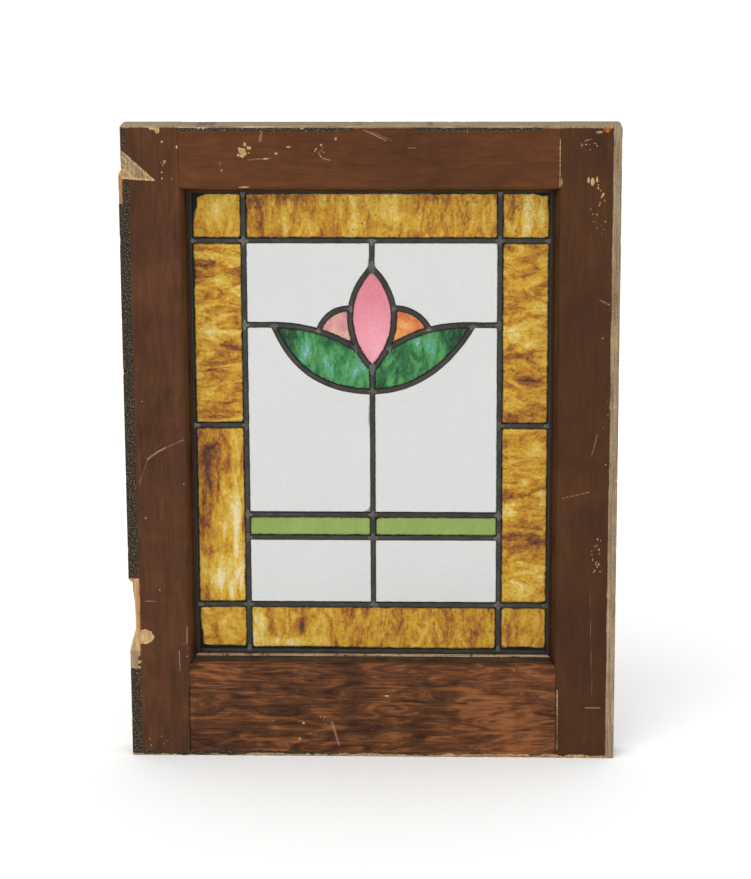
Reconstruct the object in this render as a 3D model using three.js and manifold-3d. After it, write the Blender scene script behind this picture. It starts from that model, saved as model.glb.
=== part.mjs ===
// A small leaded stained glass window: a wooden sash of four jointed boards,
// and in its rabbet a panel of coloured and clear glass held in lead cames.
// Millimetres, +Z up. The moulded room side faces -Y and the puttied side +Y.
// The origin is on the underside, midway across the width and the thickness.

import * as THREE from 'three';
import { mergeVertices } from 'three/addons/utils/BufferGeometryUtils.js';
import Module from 'manifold-3d';

const wasm = await Module();
wasm.setup();

// ---------------------------------------------------------------- sizes

const GAP = 0.3; // clear space between pieces that touch

// Sash boards
const SASH_WIDTH = 457;
const SASH_HEIGHT = 600;
const SASH_THICKNESS = 35;
const STILE_WIDTH = 62.5;
const TOP_RAIL_HEIGHT = 62.5;
const BOTTOM_RAIL_HEIGHT = 96.5;
const ARRIS_EASE = 0.8; // small bevel on the outer long edges

// Moulding stuck on the inner edge of every board, and the rabbet behind it
const MOULDING_WIDTH = 7;
const QUIRK_DEPTH = 1;
const QUIRK_WIDTH = 0.7;
const FILLET_WIDTH = 1.2;
const FILLET_DEPTH = 17.5;
const FILLET_FALL = 0.4;
const OGEE_STEPS = 8;
const RABBET_WIDTH = 6.3;
const RABBET_LIP = 22.5; // wood in front of the panel

// Through tenons of the rails
const TENON_THICKNESS = 12;
const TENON_FRONT = -8;
const TOP_TENON = { low: 546, high: 586 };
const BOTTOM_TENON = { low: 16, high: 76 };

// Lead cames: an H section, narrow inside the panel and wider round its edge
const CAME_FACE = 4.8;
const EDGE_CAME_FACE = 8;
const CAME_DEPTH = 5.2;
const CAME_LEAF = 0.8; // thickness of each face
const CAME_HEART = 1.2; // thickness of the web
const GLASS_THICKNESS = 3;
const CUT_RUN_ON = 4; // how far a clearance cut runs past a came's end

// Panel outline, to the outer edges of the edge cames
const PANEL_HALF_WIDTH = 171.8;
const PANEL_TOP = 543.4;
const PANEL_BOTTOM = 92;

// Pattern: distances from its upright axis, and heights
const PATTERN_AXIS = 1; // the pattern sits a millimetre right of centre
const BORDER_REACH = 118;
const BORDER_TOP = 491.6;
const BORDER_MIDDLE = 317.4;
const BORDER_BOTTOM = 143.3;
const BAR_TOP = 231.2;
const BAR_BOTTOM = 209;
const PETAL = { top: 466, widest: 420, bottom: 371.5, reach: 20.3 };
const LEAF_SHOULDER_HEIGHT = 412.6;
const LEAF_JOIN = { reach: 15.5, height: 391 }; // where the leaf meets the petal
const CUP_BOTTOM = 349.7;
const LEFT = { side: -1, shoulder: 91, tip: 91.5, cupFoot: 58, cupBelly: [80, 384],
  sepalFoot: 49.5, sepalCrown: [41.6, 420.5], sepalHead: 428 };
const RIGHT = { side: 1, shoulder: 86, tip: 93.5, cupFoot: 46, cupBelly: [78, 384],
  sepalFoot: 53, sepalCrown: [45.5, 418.8], sepalHead: 428.4 };

// Putty bead behind the panel
const PUTTY_INNER = { reach: 6, height: 0.8 };
const PUTTY_SET_BACK = 0.5;

// Old damage to the left stile and the top corners
const EDGE_BREAK = { low: 105.5, high: 172.5, depth: 6.2, back: 1.8 };
const TOP_SPLIT = { low: 557.5, depth: 2.5 };
const FLAKE = { corners: [[-230, 582], [-196, 551], [-230, 553]], depth: 2.4 };
const GOUGE = { reach: [8, 6.5], centre: [-214, 117.5], depth: 1.8 };
const CORNER_LOSS = { left: 4, right: 3 };

// ------------------------------------------------- places worked out

const FRONT = -SASH_THICKNESS / 2;
const BACK = SASH_THICKNESS / 2;
const HALF_WIDTH = SASH_WIDTH / 2;
const SIGHT_HALF = HALF_WIDTH - STILE_WIDTH;
const SIGHT_TOP = SASH_HEIGHT - TOP_RAIL_HEIGHT;
const RABBET_FACE = FRONT + RABBET_LIP;
const CAME_FRONT = RABBET_FACE + GAP;
const CAME_BACK = CAME_FRONT + CAME_DEPTH;
const CAME_MIDDLE = (CAME_FRONT + CAME_BACK) / 2;
const EDGE_LINE_X = PANEL_HALF_WIDTH - EDGE_CAME_FACE / 2;
const EDGE_LINE_TOP = PANEL_TOP - EDGE_CAME_FACE / 2;
const EDGE_LINE_BOTTOM = PANEL_BOTTOM + EDGE_CAME_FACE / 2;

// ------------------------------------------------------------ materials

const finish = (color, roughness, metalness = 0) =>
  new THREE.MeshStandardMaterial({ color, roughness, metalness });

const wood = () => finish(0x5a3826, 0.55);
const lead = () => finish(0x4e4d48, 0.6, 0.6);
const putty = () => finish(0x8c8676, 0.9);

function glass(color, opacity) {
  const material = finish(color, 0.15);
  material.transparent = true;
  material.opacity = opacity;
  return material;
}

// --------------------------------------------------------- solid helpers

function toSolid(geometry) {
  const bare = geometry.index ? geometry : geometry.clone();
  bare.deleteAttribute('normal');
  bare.deleteAttribute('uv');
  const merged = mergeVertices(bare, 1e-4);
  const mesh = new wasm.Mesh({
    numProp: 3,
    vertProperties: new Float32Array(merged.attributes.position.array),
    triVerts: new Uint32Array(merged.index.array),
  });
  return new wasm.Manifold(mesh);
}

function toGeometry(solid) {
  const mesh = solid.getMesh();
  const geometry = new THREE.BufferGeometry();
  geometry.setAttribute('position', new THREE.BufferAttribute(mesh.vertProperties, 3));
  geometry.setIndex(new THREE.BufferAttribute(mesh.triVerts, 1));
  geometry.computeVertexNormals();
  return geometry;
}

function piece(name, solid, material) {
  const mesh = new THREE.Mesh(toGeometry(solid), material);
  mesh.name = name;
  return mesh;
}

function extrude(points, depth) {
  return new THREE.ExtrudeGeometry(new THREE.Shape(points), { depth, bevelEnabled: false });
}

// A flat outline in the X-Z plane, thickened from yFront to yBack.
function slabGeometry(points, yFront, yBack) {
  return extrude(points, yBack - yFront).rotateX(Math.PI / 2).translate(0, yBack, 0);
}

const slab = (points, yFront, yBack) => toSolid(slabGeometry(points, yFront, yBack));

function box(low, high) {
  const size = high.map((value, i) => value - low[i]);
  const middle = high.map((value, i) => (value + low[i]) / 2);
  return toSolid(new THREE.BoxGeometry(...size).translate(...middle));
}

// The solid and its copies moved by each shift, joined: the space to keep clear.
function smeared(solid, shifts) {
  return shifts.reduce((all, shift) => all.add(solid.translate(shift)), solid);
}

// ------------------------------------------------------------ sash boards

// Section of a board as (distance from its outer edge, Y), with the moulding
// on the room side of its inner edge and the rabbet on the other side.
function boardSection(width) {
  const ogeeStart = width - MOULDING_WIDTH + QUIRK_WIDTH;
  const ogeeEnd = width - FILLET_WIDTH;
  const section = [
    [0, BACK - ARRIS_EASE],
    [0, FRONT + ARRIS_EASE],
    [ARRIS_EASE, FRONT],
    [width - MOULDING_WIDTH, FRONT],
    [width - MOULDING_WIDTH, FRONT + QUIRK_DEPTH],
  ];
  for (let i = 0; i <= OGEE_STEPS; i += 1) {
    const t = i / OGEE_STEPS;
    const fall = (FILLET_DEPTH - QUIRK_DEPTH) * (1 - Math.cos(Math.PI * t)) / 2;
    section.push([ogeeStart + (ogeeEnd - ogeeStart) * t, FRONT + QUIRK_DEPTH + fall]);
  }
  section.push(
    [width, FRONT + FILLET_DEPTH + FILLET_FALL],
    [width, RABBET_FACE],
    [width - RABBET_WIDTH, RABBET_FACE],
    [width - RABBET_WIDTH, BACK],
    [ARRIS_EASE, BACK],
  );
  return section;
}

function stileBlank(side) {
  const outline = boardSection(STILE_WIDTH).map(
    ([reach, y]) => new THREE.Vector2(side * (HALF_WIDTH - reach), y));
  return toSolid(extrude(outline, SASH_HEIGHT));
}

function railBlank(height, isTop) {
  const half = SIGHT_HALF + MOULDING_WIDTH - GAP;
  const outline = boardSection(height).map(
    ([reach, y]) => new THREE.Vector2(isTop ? SASH_HEIGHT - reach : reach, y));
  return toSolid(extrude(outline, 2 * half).rotateY(-Math.PI / 2).translate(half, 0, 0));
}

function tenon(side, heights, grow) {
  const root = SIGHT_HALF - MOULDING_WIDTH;
  const end = HALF_WIDTH + (grow > 0 ? 1 : 0);
  const xs = [side * root, side * end].sort((a, b) => a - b);
  return box(
    [xs[0], TENON_FRONT - grow, heights.low - grow],
    [xs[1], TENON_FRONT + TENON_THICKNESS + grow, heights.high + grow],
  );
}

// The room that a stile needs: its ends of the rails are coped over this.
function stileRoom(side) {
  return smeared(stileBlank(side), [[-side * GAP, -GAP, 0], [-side * GAP, GAP, 0]]);
}

function rail(height, isTop, heights) {
  let solid = railBlank(height, isTop);
  for (const side of [-1, 1]) {
    solid = solid.subtract(stileRoom(side)).add(tenon(side, heights, 0));
  }
  return solid;
}

function stile(side) {
  return stileBlank(side)
    .subtract(tenon(side, TOP_TENON, GAP))
    .subtract(tenon(side, BOTTOM_TENON, GAP))
    .subtract(cornerLoss(side));
}

// A prism that takes off the rounded top outer corner of a stile.
function cornerLoss(side) {
  const loss = side < 0 ? CORNER_LOSS.left : CORNER_LOSS.right;
  const x = side * HALF_WIDTH;
  const outline = [
    [x + side, SASH_HEIGHT + 1],
    [x + side, SASH_HEIGHT - loss - 1],
    [x - side * loss * 0.3, SASH_HEIGHT - loss * 0.3],
    [x - side * (loss + 1), SASH_HEIGHT + 1],
  ];
  return slab(outline.map((p) => new THREE.Vector2(...p)), FRONT - 1, BACK + 1);
}

// A splintered length of the outer edge, deepest at the front.
function edgeBreak() {
  const { low, high, depth, back } = EDGE_BREAK;
  const length = high - low;
  const outline = [
    [-2, low - 2],
    [depth * 0.6, low + length * 0.06],
    [depth, low + length * 0.13],
    [depth, low + length * 0.5],
    [depth * 0.87, low + length * 0.72],
    [depth * 0.7, low + length * 0.88],
    [depth * 0.65, low + length * 0.98],
    [-2, high + 1],
  ].map((p) => new THREE.Vector2(...p));
  const slant = Math.atan2(depth - back, SASH_THICKNESS);
  const shape = slabGeometry(outline, -2, SASH_THICKNESS + 2)
    .rotateZ(slant)
    .translate(-HALF_WIDTH, FRONT, 0);
  return toSolid(shape);
}

// The upper part of the outer front edge, split away along the grain.
function topSplit() {
  const { low, depth } = TOP_SPLIT;
  const outline = [[-2, low - 1], [depth, low + 2], [depth, SASH_HEIGHT + 1], [-2, SASH_HEIGHT + 1]]
    .map((p) => new THREE.Vector2(...p));
  const slant = Math.atan2(depth * 0.6, SASH_THICKNESS);
  return toSolid(slabGeometry(outline, -2, SASH_THICKNESS + 2)
    .rotateZ(slant)
    .translate(-HALF_WIDTH, FRONT, 0));
}

// A three-cornered flake lifted from the face, deepest at the outer edge.
function faceFlake() {
  const { corners, depth } = FLAKE;
  const run = corners[1][0] - corners[0][0];
  const outline = corners.map(([x, z]) => new THREE.Vector2(x - corners[1][0], z));
  return toSolid(slabGeometry(outline, -depth * 3, 0)
    .rotateZ(-Math.atan2(depth, run))
    .translate(corners[1][0], FRONT, 0));
}

// A shallow round gouge beside the break.
function gouge() {
  const { reach, centre, depth } = GOUGE;
  return toSolid(new THREE.SphereGeometry(1, 12, 6)
    .scale(reach[0], depth, reach[1])
    .translate(centre[0], FRONT, centre[1]));
}

function sash() {
  const leftStile = stile(-1)
    .subtract(edgeBreak())
    .subtract(topSplit())
    .subtract(faceFlake())
    .subtract(gouge());
  return [
    piece('left_stile', leftStile, wood()),
    piece('right_stile', stile(1), wood()),
    piece('top_rail', rail(TOP_RAIL_HEIGHT, true, TOP_TENON).subtract(topSplit()), wood()),
    piece('bottom_rail', rail(BOTTOM_RAIL_HEIGHT, false, BOTTOM_TENON), wood()),
  ];
}

// ---------------------------------------------------------- pattern lines

const point = (x, z) => new THREE.Vector2(x, z);
const atReach = (hand, reach, z) => point(PATTERN_AXIS + hand.side * reach, z);
const onAxis = (z) => point(PATTERN_AXIS, z);

// Steps from a to b, both ends included.
function steps(a, b, count) {
  return Array.from({ length: count + 1 }, (_, i) => a + (b - a) * i / count);
}

// Half width of the centre petal: one circular arc above its widest height
// and another below, both upright at the widest point.
function petalReach(z) {
  const rise = z > PETAL.widest ? PETAL.top - PETAL.widest : PETAL.widest - PETAL.bottom;
  const radius = (rise ** 2 + PETAL.reach ** 2) / (2 * PETAL.reach);
  return PETAL.reach - radius + Math.sqrt(radius ** 2 - (z - PETAL.widest) ** 2);
}

function petalEdge(hand, from, to, count) {
  return steps(from, to, count).map((z) => atReach(hand, petalReach(z), z));
}

// Height of a leaf's upper line: level out to its shoulder, then an arc that
// falls to the petal.
function leafHeight(hand, reach) {
  const run = hand.shoulder - LEAF_JOIN.reach;
  const fall = LEAF_SHOULDER_HEIGHT - LEAF_JOIN.height;
  const radius = (run ** 2 + fall ** 2) / (2 * fall);
  const inward = Math.max(0, hand.shoulder - reach);
  return LEAF_SHOULDER_HEIGHT - radius + Math.sqrt(radius ** 2 - inward ** 2);
}

function leafLine(hand, from, to, count) {
  return steps(from, to, count).map((reach) => atReach(hand, reach, leafHeight(hand, reach)));
}

// The leaf's lower line, from the foot of the flower out to the leaf's tip.
function cupLine(hand, count) {
  const curve = new THREE.CubicBezierCurve(
    onAxis(CUP_BOTTOM),
    atReach(hand, hand.cupFoot, CUP_BOTTOM),
    atReach(hand, ...hand.cupBelly),
    atReach(hand, hand.tip, LEAF_SHOULDER_HEIGHT),
  );
  return curve.getPoints(count);
}

// The arc through three points.
function arcThrough(a, b, c, count) {
  const middle = (p, q) => p.clone().add(q).multiplyScalar(0.5);
  const [m, n] = [middle(a, b), middle(b, c)];
  const [u, v] = [b.clone().sub(a), c.clone().sub(b)];
  const cross = u.x * v.y - u.y * v.x;
  const along = n.clone().sub(m).dot(v) / cross;
  const centre = point(m.x - u.y * along, m.y + u.x * along);
  const radius = a.distanceTo(centre);
  const angle = (p) => Math.atan2(p.y - centre.y, p.x - centre.x);
  const start = angle(a);
  const turn = Math.sign(cross) > 0 ? 1 : -1;
  const full = ((angle(c) - start) * turn + 4 * Math.PI) % (2 * Math.PI);
  return steps(0, full * turn, count).map((swept) => point(
    centre.x + radius * Math.cos(start + swept),
    centre.y + radius * Math.sin(start + swept)));
}

// The small petal beside the centre one: from the leaf line over to the petal.
function sepalLine(hand, count) {
  return arcThrough(
    atReach(hand, hand.sepalFoot, leafHeight(hand, hand.sepalFoot)),
    atReach(hand, ...hand.sepalCrown),
    atReach(hand, petalReach(hand.sepalHead), hand.sepalHead),
    count,
  );
}

// --------------------------------------------------------------- cames

const borderX = (hand) => PATTERN_AXIS + hand.side * BORDER_REACH;
const edgeX = (hand) => hand.side * EDGE_LINE_X;
const level = (from, to, z) => [point(from, z), point(to, z)];
const upright = (x, from, to) => [point(x, from), point(x, to)];

// Every came as its centre line, its face width and the cames it butts against.
function cameList() {
  const list = [
    { name: 'edge_came_left', line: upright(-EDGE_LINE_X, PANEL_BOTTOM, PANEL_TOP) },
    { name: 'edge_came_right', line: upright(EDGE_LINE_X, PANEL_BOTTOM, PANEL_TOP) },
    { name: 'edge_came_top', line: level(-EDGE_LINE_X, EDGE_LINE_X, EDGE_LINE_TOP) },
    { name: 'edge_came_bottom', line: level(-EDGE_LINE_X, EDGE_LINE_X, EDGE_LINE_BOTTOM) },
  ];
  for (const came of list) {
    came.face = EDGE_CAME_FACE;
    came.meets = list.indexOf(came) < 2 ? [] : ['edge_came_left', 'edge_came_right'];
  }
  const add = (name, line, meets) => list.push({ name, line, meets, face: CAME_FACE });

  for (const [word, hand] of [['left', LEFT], ['right', RIGHT]]) {
    add(`border_came_${word}`, upright(borderX(hand), EDGE_LINE_BOTTOM, EDGE_LINE_TOP),
      ['edge_came_top', 'edge_came_bottom']);
  }
  for (const [row, z] of [['top', BORDER_TOP], ['bottom', BORDER_BOTTOM]]) {
    add(`border_came_${row}`, level(borderX(LEFT), borderX(RIGHT), z),
      ['border_came_left', 'border_came_right']);
  }
  for (const [word, hand] of [['left', LEFT], ['right', RIGHT]]) {
    for (const [row, z] of [['top', BORDER_TOP], ['middle', BORDER_MIDDLE], ['bottom', BORDER_BOTTOM]]) {
      add(`border_tie_${row}_${word}`, level(edgeX(hand), borderX(hand), z),
        [`edge_came_${word}`, `border_came_${word}`]);
    }
    add(`petal_came_${word}`, petalEdge(hand, PETAL.top, PETAL.bottom, 18),
      word === 'right' ? ['petal_came_left'] : []);
    add(`leaf_came_${word}`,
      [atReach(hand, BORDER_REACH, LEAF_SHOULDER_HEIGHT), ...leafLine(hand, hand.tip, LEAF_JOIN.reach, 10)],
      [`border_came_${word}`, `petal_came_${word}`]);
    add(`sepal_came_${word}`, sepalLine(hand, 8), [`leaf_came_${word}`, `petal_came_${word}`]);
  }
  add('upper_stem_came', [onAxis(BORDER_TOP), onAxis(PETAL.top)],
    ['border_came_top', 'petal_came_left', 'petal_came_right']);
  add('leaf_cup_came', [...cupLine(LEFT, 12).reverse(), ...cupLine(RIGHT, 12).slice(1)],
    ['leaf_came_left', 'leaf_came_right']);
  add('leaf_divider_came', [onAxis(PETAL.bottom), onAxis(CUP_BOTTOM)],
    ['petal_came_left', 'petal_came_right', 'leaf_cup_came']);
  add('lower_stem_came', [onAxis(CUP_BOTTOM), onAxis(BORDER_BOTTOM)],
    ['leaf_cup_came', 'border_came_bottom']);
  for (const [word, hand] of [['left', LEFT], ['right', RIGHT]]) {
    for (const [row, z] of [['top', BAR_TOP], ['bottom', BAR_BOTTOM]]) {
      add(`bar_came_${row}_${word}`, level(borderX(hand), PATTERN_AXIS, z),
        [`border_came_${word}`, 'lower_stem_came']);
    }
  }
  return list;
}

// The outline of a strip of the given width along a line of points. Each
// corner is offset along the bisector of its two segments.
function stripOutline(line, width) {
  const last = line.length - 1;
  const normals = line.map((_, i) => {
    const before = line[Math.max(i - 1, 0)];
    const after = line[Math.min(i + 1, last)];
    const run = after.clone().sub(before).normalize();
    return point(-run.y, run.x);
  });
  const offset = (amount) => line.map((p, i) => p.clone().addScaledVector(normals[i], amount));
  return [...offset(width / 2), ...offset(-width / 2).reverse()];
}

// The line with both ends run on straight.
function runOn(line, length) {
  const beyond = (end, inner) => end.clone().add(
    end.clone().sub(inner).setLength(length));
  const last = line.length - 1;
  return [beyond(line[0], line[1]), ...line, beyond(line[last], line[last - 1])];
}

const strip = (line, width, yFront, yBack) => slab(stripOutline(line, width), yFront, yBack);

function cameSection({ line, face }) {
  return strip(line, CAME_HEART, CAME_FRONT, CAME_BACK)
    .add(strip(line, face, CAME_FRONT, CAME_FRONT + CAME_LEAF))
    .add(strip(line, face, CAME_BACK - CAME_LEAF, CAME_BACK));
}

function cameRoom({ line, face }) {
  return strip(runOn(line, CUT_RUN_ON), face + 2 * GAP, CAME_FRONT - 1, CAME_BACK + 1);
}

function cames(list) {
  const byName = new Map(list.map((came) => [came.name, came]));
  return list.map((came) => {
    const trimmed = came.meets.reduce(
      (solid, other) => solid.subtract(cameRoom(byName.get(other))), cameSection(came));
    return piece(came.name, trimmed, lead());
  });
}

// --------------------------------------------------------------- glass

const AMBER = [0xd29a26, 0.9];
const CLEAR = [0xe6e8e6, 0.35];
const PINK = [0xe0849c, 0.9];
const PEACH = [0xd89c8c, 0.9];
const ORANGE = [0xe27834, 0.9];
const GREEN = [0x2c8a52, 0.9];
const LIME = [0x93b14a, 0.9];

const quad = (xa, xb, za, zb) => [point(xa, za), point(xb, za), point(xb, zb), point(xa, zb)];

// Every pane as the outline along the middle of the cames round it.
function paneList() {
  const list = [];
  const add = (name, outline, colour) => list.push({ name, outline, colour });

  add('border_pane_top', quad(borderX(LEFT), borderX(RIGHT), BORDER_TOP, EDGE_LINE_TOP), AMBER);
  add('border_pane_bottom',
    quad(borderX(LEFT), borderX(RIGHT), EDGE_LINE_BOTTOM, BORDER_BOTTOM), AMBER);
  for (const [word, hand] of [['left', LEFT], ['right', RIGHT]]) {
    const [edge, border] = [edgeX(hand), borderX(hand)];
    add(`corner_pane_top_${word}`, quad(edge, border, BORDER_TOP, EDGE_LINE_TOP), AMBER);
    add(`corner_pane_bottom_${word}`, quad(edge, border, EDGE_LINE_BOTTOM, BORDER_BOTTOM), AMBER);
    add(`border_pane_upper_${word}`, quad(edge, border, BORDER_MIDDLE, BORDER_TOP), AMBER);
    add(`border_pane_lower_${word}`, quad(edge, border, BORDER_BOTTOM, BORDER_MIDDLE), AMBER);

    add(`clear_pane_upper_${word}`, [
      onAxis(BORDER_TOP),
      ...petalEdge(hand, PETAL.top, hand.sepalHead, 8),
      ...sepalLine(hand, 8).reverse().slice(1),
      ...leafLine(hand, hand.sepalFoot, hand.tip, 6).slice(1),
      atReach(hand, BORDER_REACH, LEAF_SHOULDER_HEIGHT),
      atReach(hand, BORDER_REACH, BORDER_TOP),
    ], CLEAR);
    add(`clear_pane_middle_${word}`, [
      ...cupLine(hand, 12),
      atReach(hand, BORDER_REACH, LEAF_SHOULDER_HEIGHT),
      atReach(hand, BORDER_REACH, BAR_TOP),
      onAxis(BAR_TOP),
    ], CLEAR);
    add(`bar_pane_${word}`, quad(PATTERN_AXIS, border, BAR_BOTTOM, BAR_TOP), LIME);
    add(`clear_pane_lower_${word}`, quad(PATTERN_AXIS, border, BORDER_BOTTOM, BAR_BOTTOM), CLEAR);

    add(`leaf_pane_${word}`, [
      ...cupLine(hand, 12),
      ...leafLine(hand, hand.tip, LEAF_JOIN.reach, 10).slice(1, -1),
      ...petalEdge(hand, LEAF_JOIN.height, PETAL.bottom, 5),
    ], GREEN);
    add(`sepal_pane_${word}`, [
      ...sepalLine(hand, 8),
      ...petalEdge(hand, hand.sepalHead, LEAF_JOIN.height, 7).slice(1),
      ...leafLine(hand, LEAF_JOIN.reach, hand.sepalFoot, 6).slice(1, -1),
    ], hand === LEFT ? PEACH : ORANGE);
  }
  add('petal_pane_centre', [
    ...petalEdge(LEFT, PETAL.top, PETAL.bottom, 18),
    ...petalEdge(RIGHT, PETAL.bottom, PETAL.top, 18).slice(1, -1),
  ], PINK);
  return list;
}

// Each pane is cut back from the web of every came that runs along its edge.
function panes(list) {
  const front = CAME_MIDDLE - GLASS_THICKNESS / 2;
  const back = CAME_MIDDLE + GLASS_THICKNESS / 2;
  const webs = list.map(({ line }) => strip(
    runOn(line, CAME_HEART / 2), CAME_HEART + 2 * GAP, front - 1, back + 1));
  return paneList().map(({ name, outline, colour }) => {
    const cut = webs.reduce((solid, web) => solid.subtract(web), slab(outline, front, back));
    return piece(name, cut, glass(...colour));
  });
}

// --------------------------------------------------------------- putty

// Section of the bead as (distance in from the rabbet wall, Y).
function puttySection() {
  const foot = CAME_BACK + GAP;
  return [
    [GAP, foot],
    [PUTTY_INNER.reach, foot],
    [PUTTY_INNER.reach, foot + PUTTY_INNER.height],
    [GAP, BACK - PUTTY_SET_BACK],
  ];
}

function levelBead(z, inward) {
  const half = SIGHT_HALF + RABBET_WIDTH - GAP;
  const outline = puttySection().map(([reach, y]) => point(z + inward * reach, y));
  return toSolid(extrude(outline, 2 * half).rotateY(-Math.PI / 2).translate(half, 0, 0));
}

function uprightBead(side, bottom, top) {
  const wall = SIGHT_HALF + RABBET_WIDTH;
  const outline = puttySection().map(([reach, y]) => point(side * (wall - reach), y));
  return toSolid(extrude(outline, top - bottom).translate(0, 0, bottom));
}

function puttyBeads() {
  const top = SIGHT_TOP + RABBET_WIDTH;
  const bottom = BOTTOM_RAIL_HEIGHT - RABBET_WIDTH;
  const topBead = levelBead(top, -1);
  const bottomBead = levelBead(bottom, 1);
  const room = smeared(topBead, [[0, 0, -GAP], [0, GAP, 0]])
    .add(smeared(bottomBead, [[0, 0, GAP], [0, GAP, 0]]));
  const sideBead = (side) => uprightBead(side, bottom + GAP, top - GAP).subtract(room);
  return [
    piece('putty_bead_top', topBead, putty()),
    piece('putty_bead_bottom', bottomBead, putty()),
    piece('putty_bead_left', sideBead(-1), putty()),
    piece('putty_bead_right', sideBead(1), putty()),
  ];
}

// --------------------------------------------------------------- window

const cameLines = cameList();
const group = new THREE.Group();
group.add(...sash(), ...cames(cameLines), ...panes(cameLines), ...puttyBeads());

export default group;
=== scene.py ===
"""Looks of a small leaded stained glass window in an old wooden sash.

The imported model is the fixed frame. Every board, came, pane and putty bead is
made again here as a fine surface in the place of its node: worn and broken
boards, rounded leads with soldered joints, rippled glass and rough putty.
Shapes are worked out in millimetres and put into the meshes in metres.
"""

import logging
import math
from dataclasses import dataclass
from enum import Enum

import bpy
import numpy as np
from mathutils import Matrix, Vector


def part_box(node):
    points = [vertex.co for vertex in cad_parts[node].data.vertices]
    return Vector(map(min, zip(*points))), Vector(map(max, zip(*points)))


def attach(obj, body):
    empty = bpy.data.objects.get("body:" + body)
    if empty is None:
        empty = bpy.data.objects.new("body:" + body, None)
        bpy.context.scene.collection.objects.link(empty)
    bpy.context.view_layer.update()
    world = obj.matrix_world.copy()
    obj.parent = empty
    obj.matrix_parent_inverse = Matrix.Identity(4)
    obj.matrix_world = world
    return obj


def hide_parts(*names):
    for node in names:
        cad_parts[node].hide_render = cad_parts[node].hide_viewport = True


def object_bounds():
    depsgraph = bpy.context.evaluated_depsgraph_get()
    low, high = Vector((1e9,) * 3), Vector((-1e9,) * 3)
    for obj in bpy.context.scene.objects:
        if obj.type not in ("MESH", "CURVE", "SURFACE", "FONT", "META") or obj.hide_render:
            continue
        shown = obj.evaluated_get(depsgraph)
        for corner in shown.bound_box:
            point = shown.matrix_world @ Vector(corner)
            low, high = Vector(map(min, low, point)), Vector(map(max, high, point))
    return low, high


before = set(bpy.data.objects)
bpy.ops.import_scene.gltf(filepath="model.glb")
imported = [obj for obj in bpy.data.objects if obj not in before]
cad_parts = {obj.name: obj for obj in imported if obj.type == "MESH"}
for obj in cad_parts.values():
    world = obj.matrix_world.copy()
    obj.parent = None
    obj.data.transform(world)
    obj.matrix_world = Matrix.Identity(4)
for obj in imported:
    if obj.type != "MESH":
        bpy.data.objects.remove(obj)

Array = np.ndarray
Material = bpy.types.Material
Socket = bpy.types.NodeSocket
Colour = tuple[float, float, float, float]
Point = tuple[float, float]
Triple = tuple[float, float, float]

MM = 0.001
FAR = -4.0  # a wear distance that stands for nowhere near, in millimetres
CAD_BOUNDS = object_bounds()
BODY = "root"
LOG = logging.getLogger("window")


# ------ numbers


class Noise:
    """Smooth random relief on a plane, the same on each run for one seed."""

    KNOTS = 256

    def __init__(self, seed: int) -> None:
        """Draws the lattice of random values from the seed."""
        self.lattice = np.random.default_rng(seed).uniform(-1, 1, (self.KNOTS, self.KNOTS))

    def at(self, u: Array, v: Array, octaves: int = 1) -> Array:
        """Values from about -1 to 1.

        The four knots round a point are blended by 3t^2 - 2t^3 both ways, and
        each further octave has half the size and half the weight.

        Args:
            u: First coordinate, in lattice steps.
            v: Second coordinate, in lattice steps.
            octaves: How many sizes of relief are added up.

        Returns:
            An array of the coordinates' shape.
        """
        total = 0.0
        for octave in range(octaves):
            a = np.asarray(u, float) * 2**octave + 31.7 * octave
            b = np.asarray(v, float) * 2**octave + 11.3 * octave
            i, j = np.floor(a).astype(int), np.floor(b).astype(int)
            s, t = a - i, b - j
            s, t = s * s * (3 - 2 * s), t * t * (3 - 2 * t)
            i, j = i % self.KNOTS, j % self.KNOTS
            k, m = (i + 1) % self.KNOTS, (j + 1) % self.KNOTS
            low = self.lattice[i, j] * (1 - s) + self.lattice[k, j] * s
            high = self.lattice[i, m] * (1 - s) + self.lattice[k, m] * s
            total = total + (low * (1 - t) + high * t) * 0.5**octave
        return total / (2 - 0.5 ** (octaves - 1))


def rise(value: Array, low: float, high: float) -> Array:
    """Smooth step: 0 below low, 1 above high, 3t^2 - 2t^3 between them."""
    t = np.clip((np.asarray(value, float) - low) / (high - low), 0, 1)
    return t * t * (3 - 2 * t)


def leg(start: Point, end: Point, spacing: float) -> Array:
    """Even points from start up to, but without, end.

    Args:
        start: The first point.
        end: The point to stop short of.
        spacing: About how far apart they lie.

    Returns:
        The points as rows.
    """
    length = math.dist(start, end)
    count = max(1, round(length / spacing))
    t = np.arange(count)[:, None] / count
    return np.array(start) * (1 - t) + np.array(end) * t


def along(line: Array, spacing: float) -> Array:
    """A polyline's points spread evenly by arc length, both ends included.

    Args:
        line: Its corners as rows.
        spacing: About how far apart they lie.

    Returns:
        The points as rows.
    """
    travelled = np.r_[0, np.cumsum(np.hypot(*np.diff(line, axis=0).T))]
    stops = np.linspace(0, travelled[-1], max(2, round(travelled[-1] / spacing) + 1))
    return np.column_stack([np.interp(stops, travelled, line[:, axis]) for axis in (0, 1)])


# ------ meshes


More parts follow.
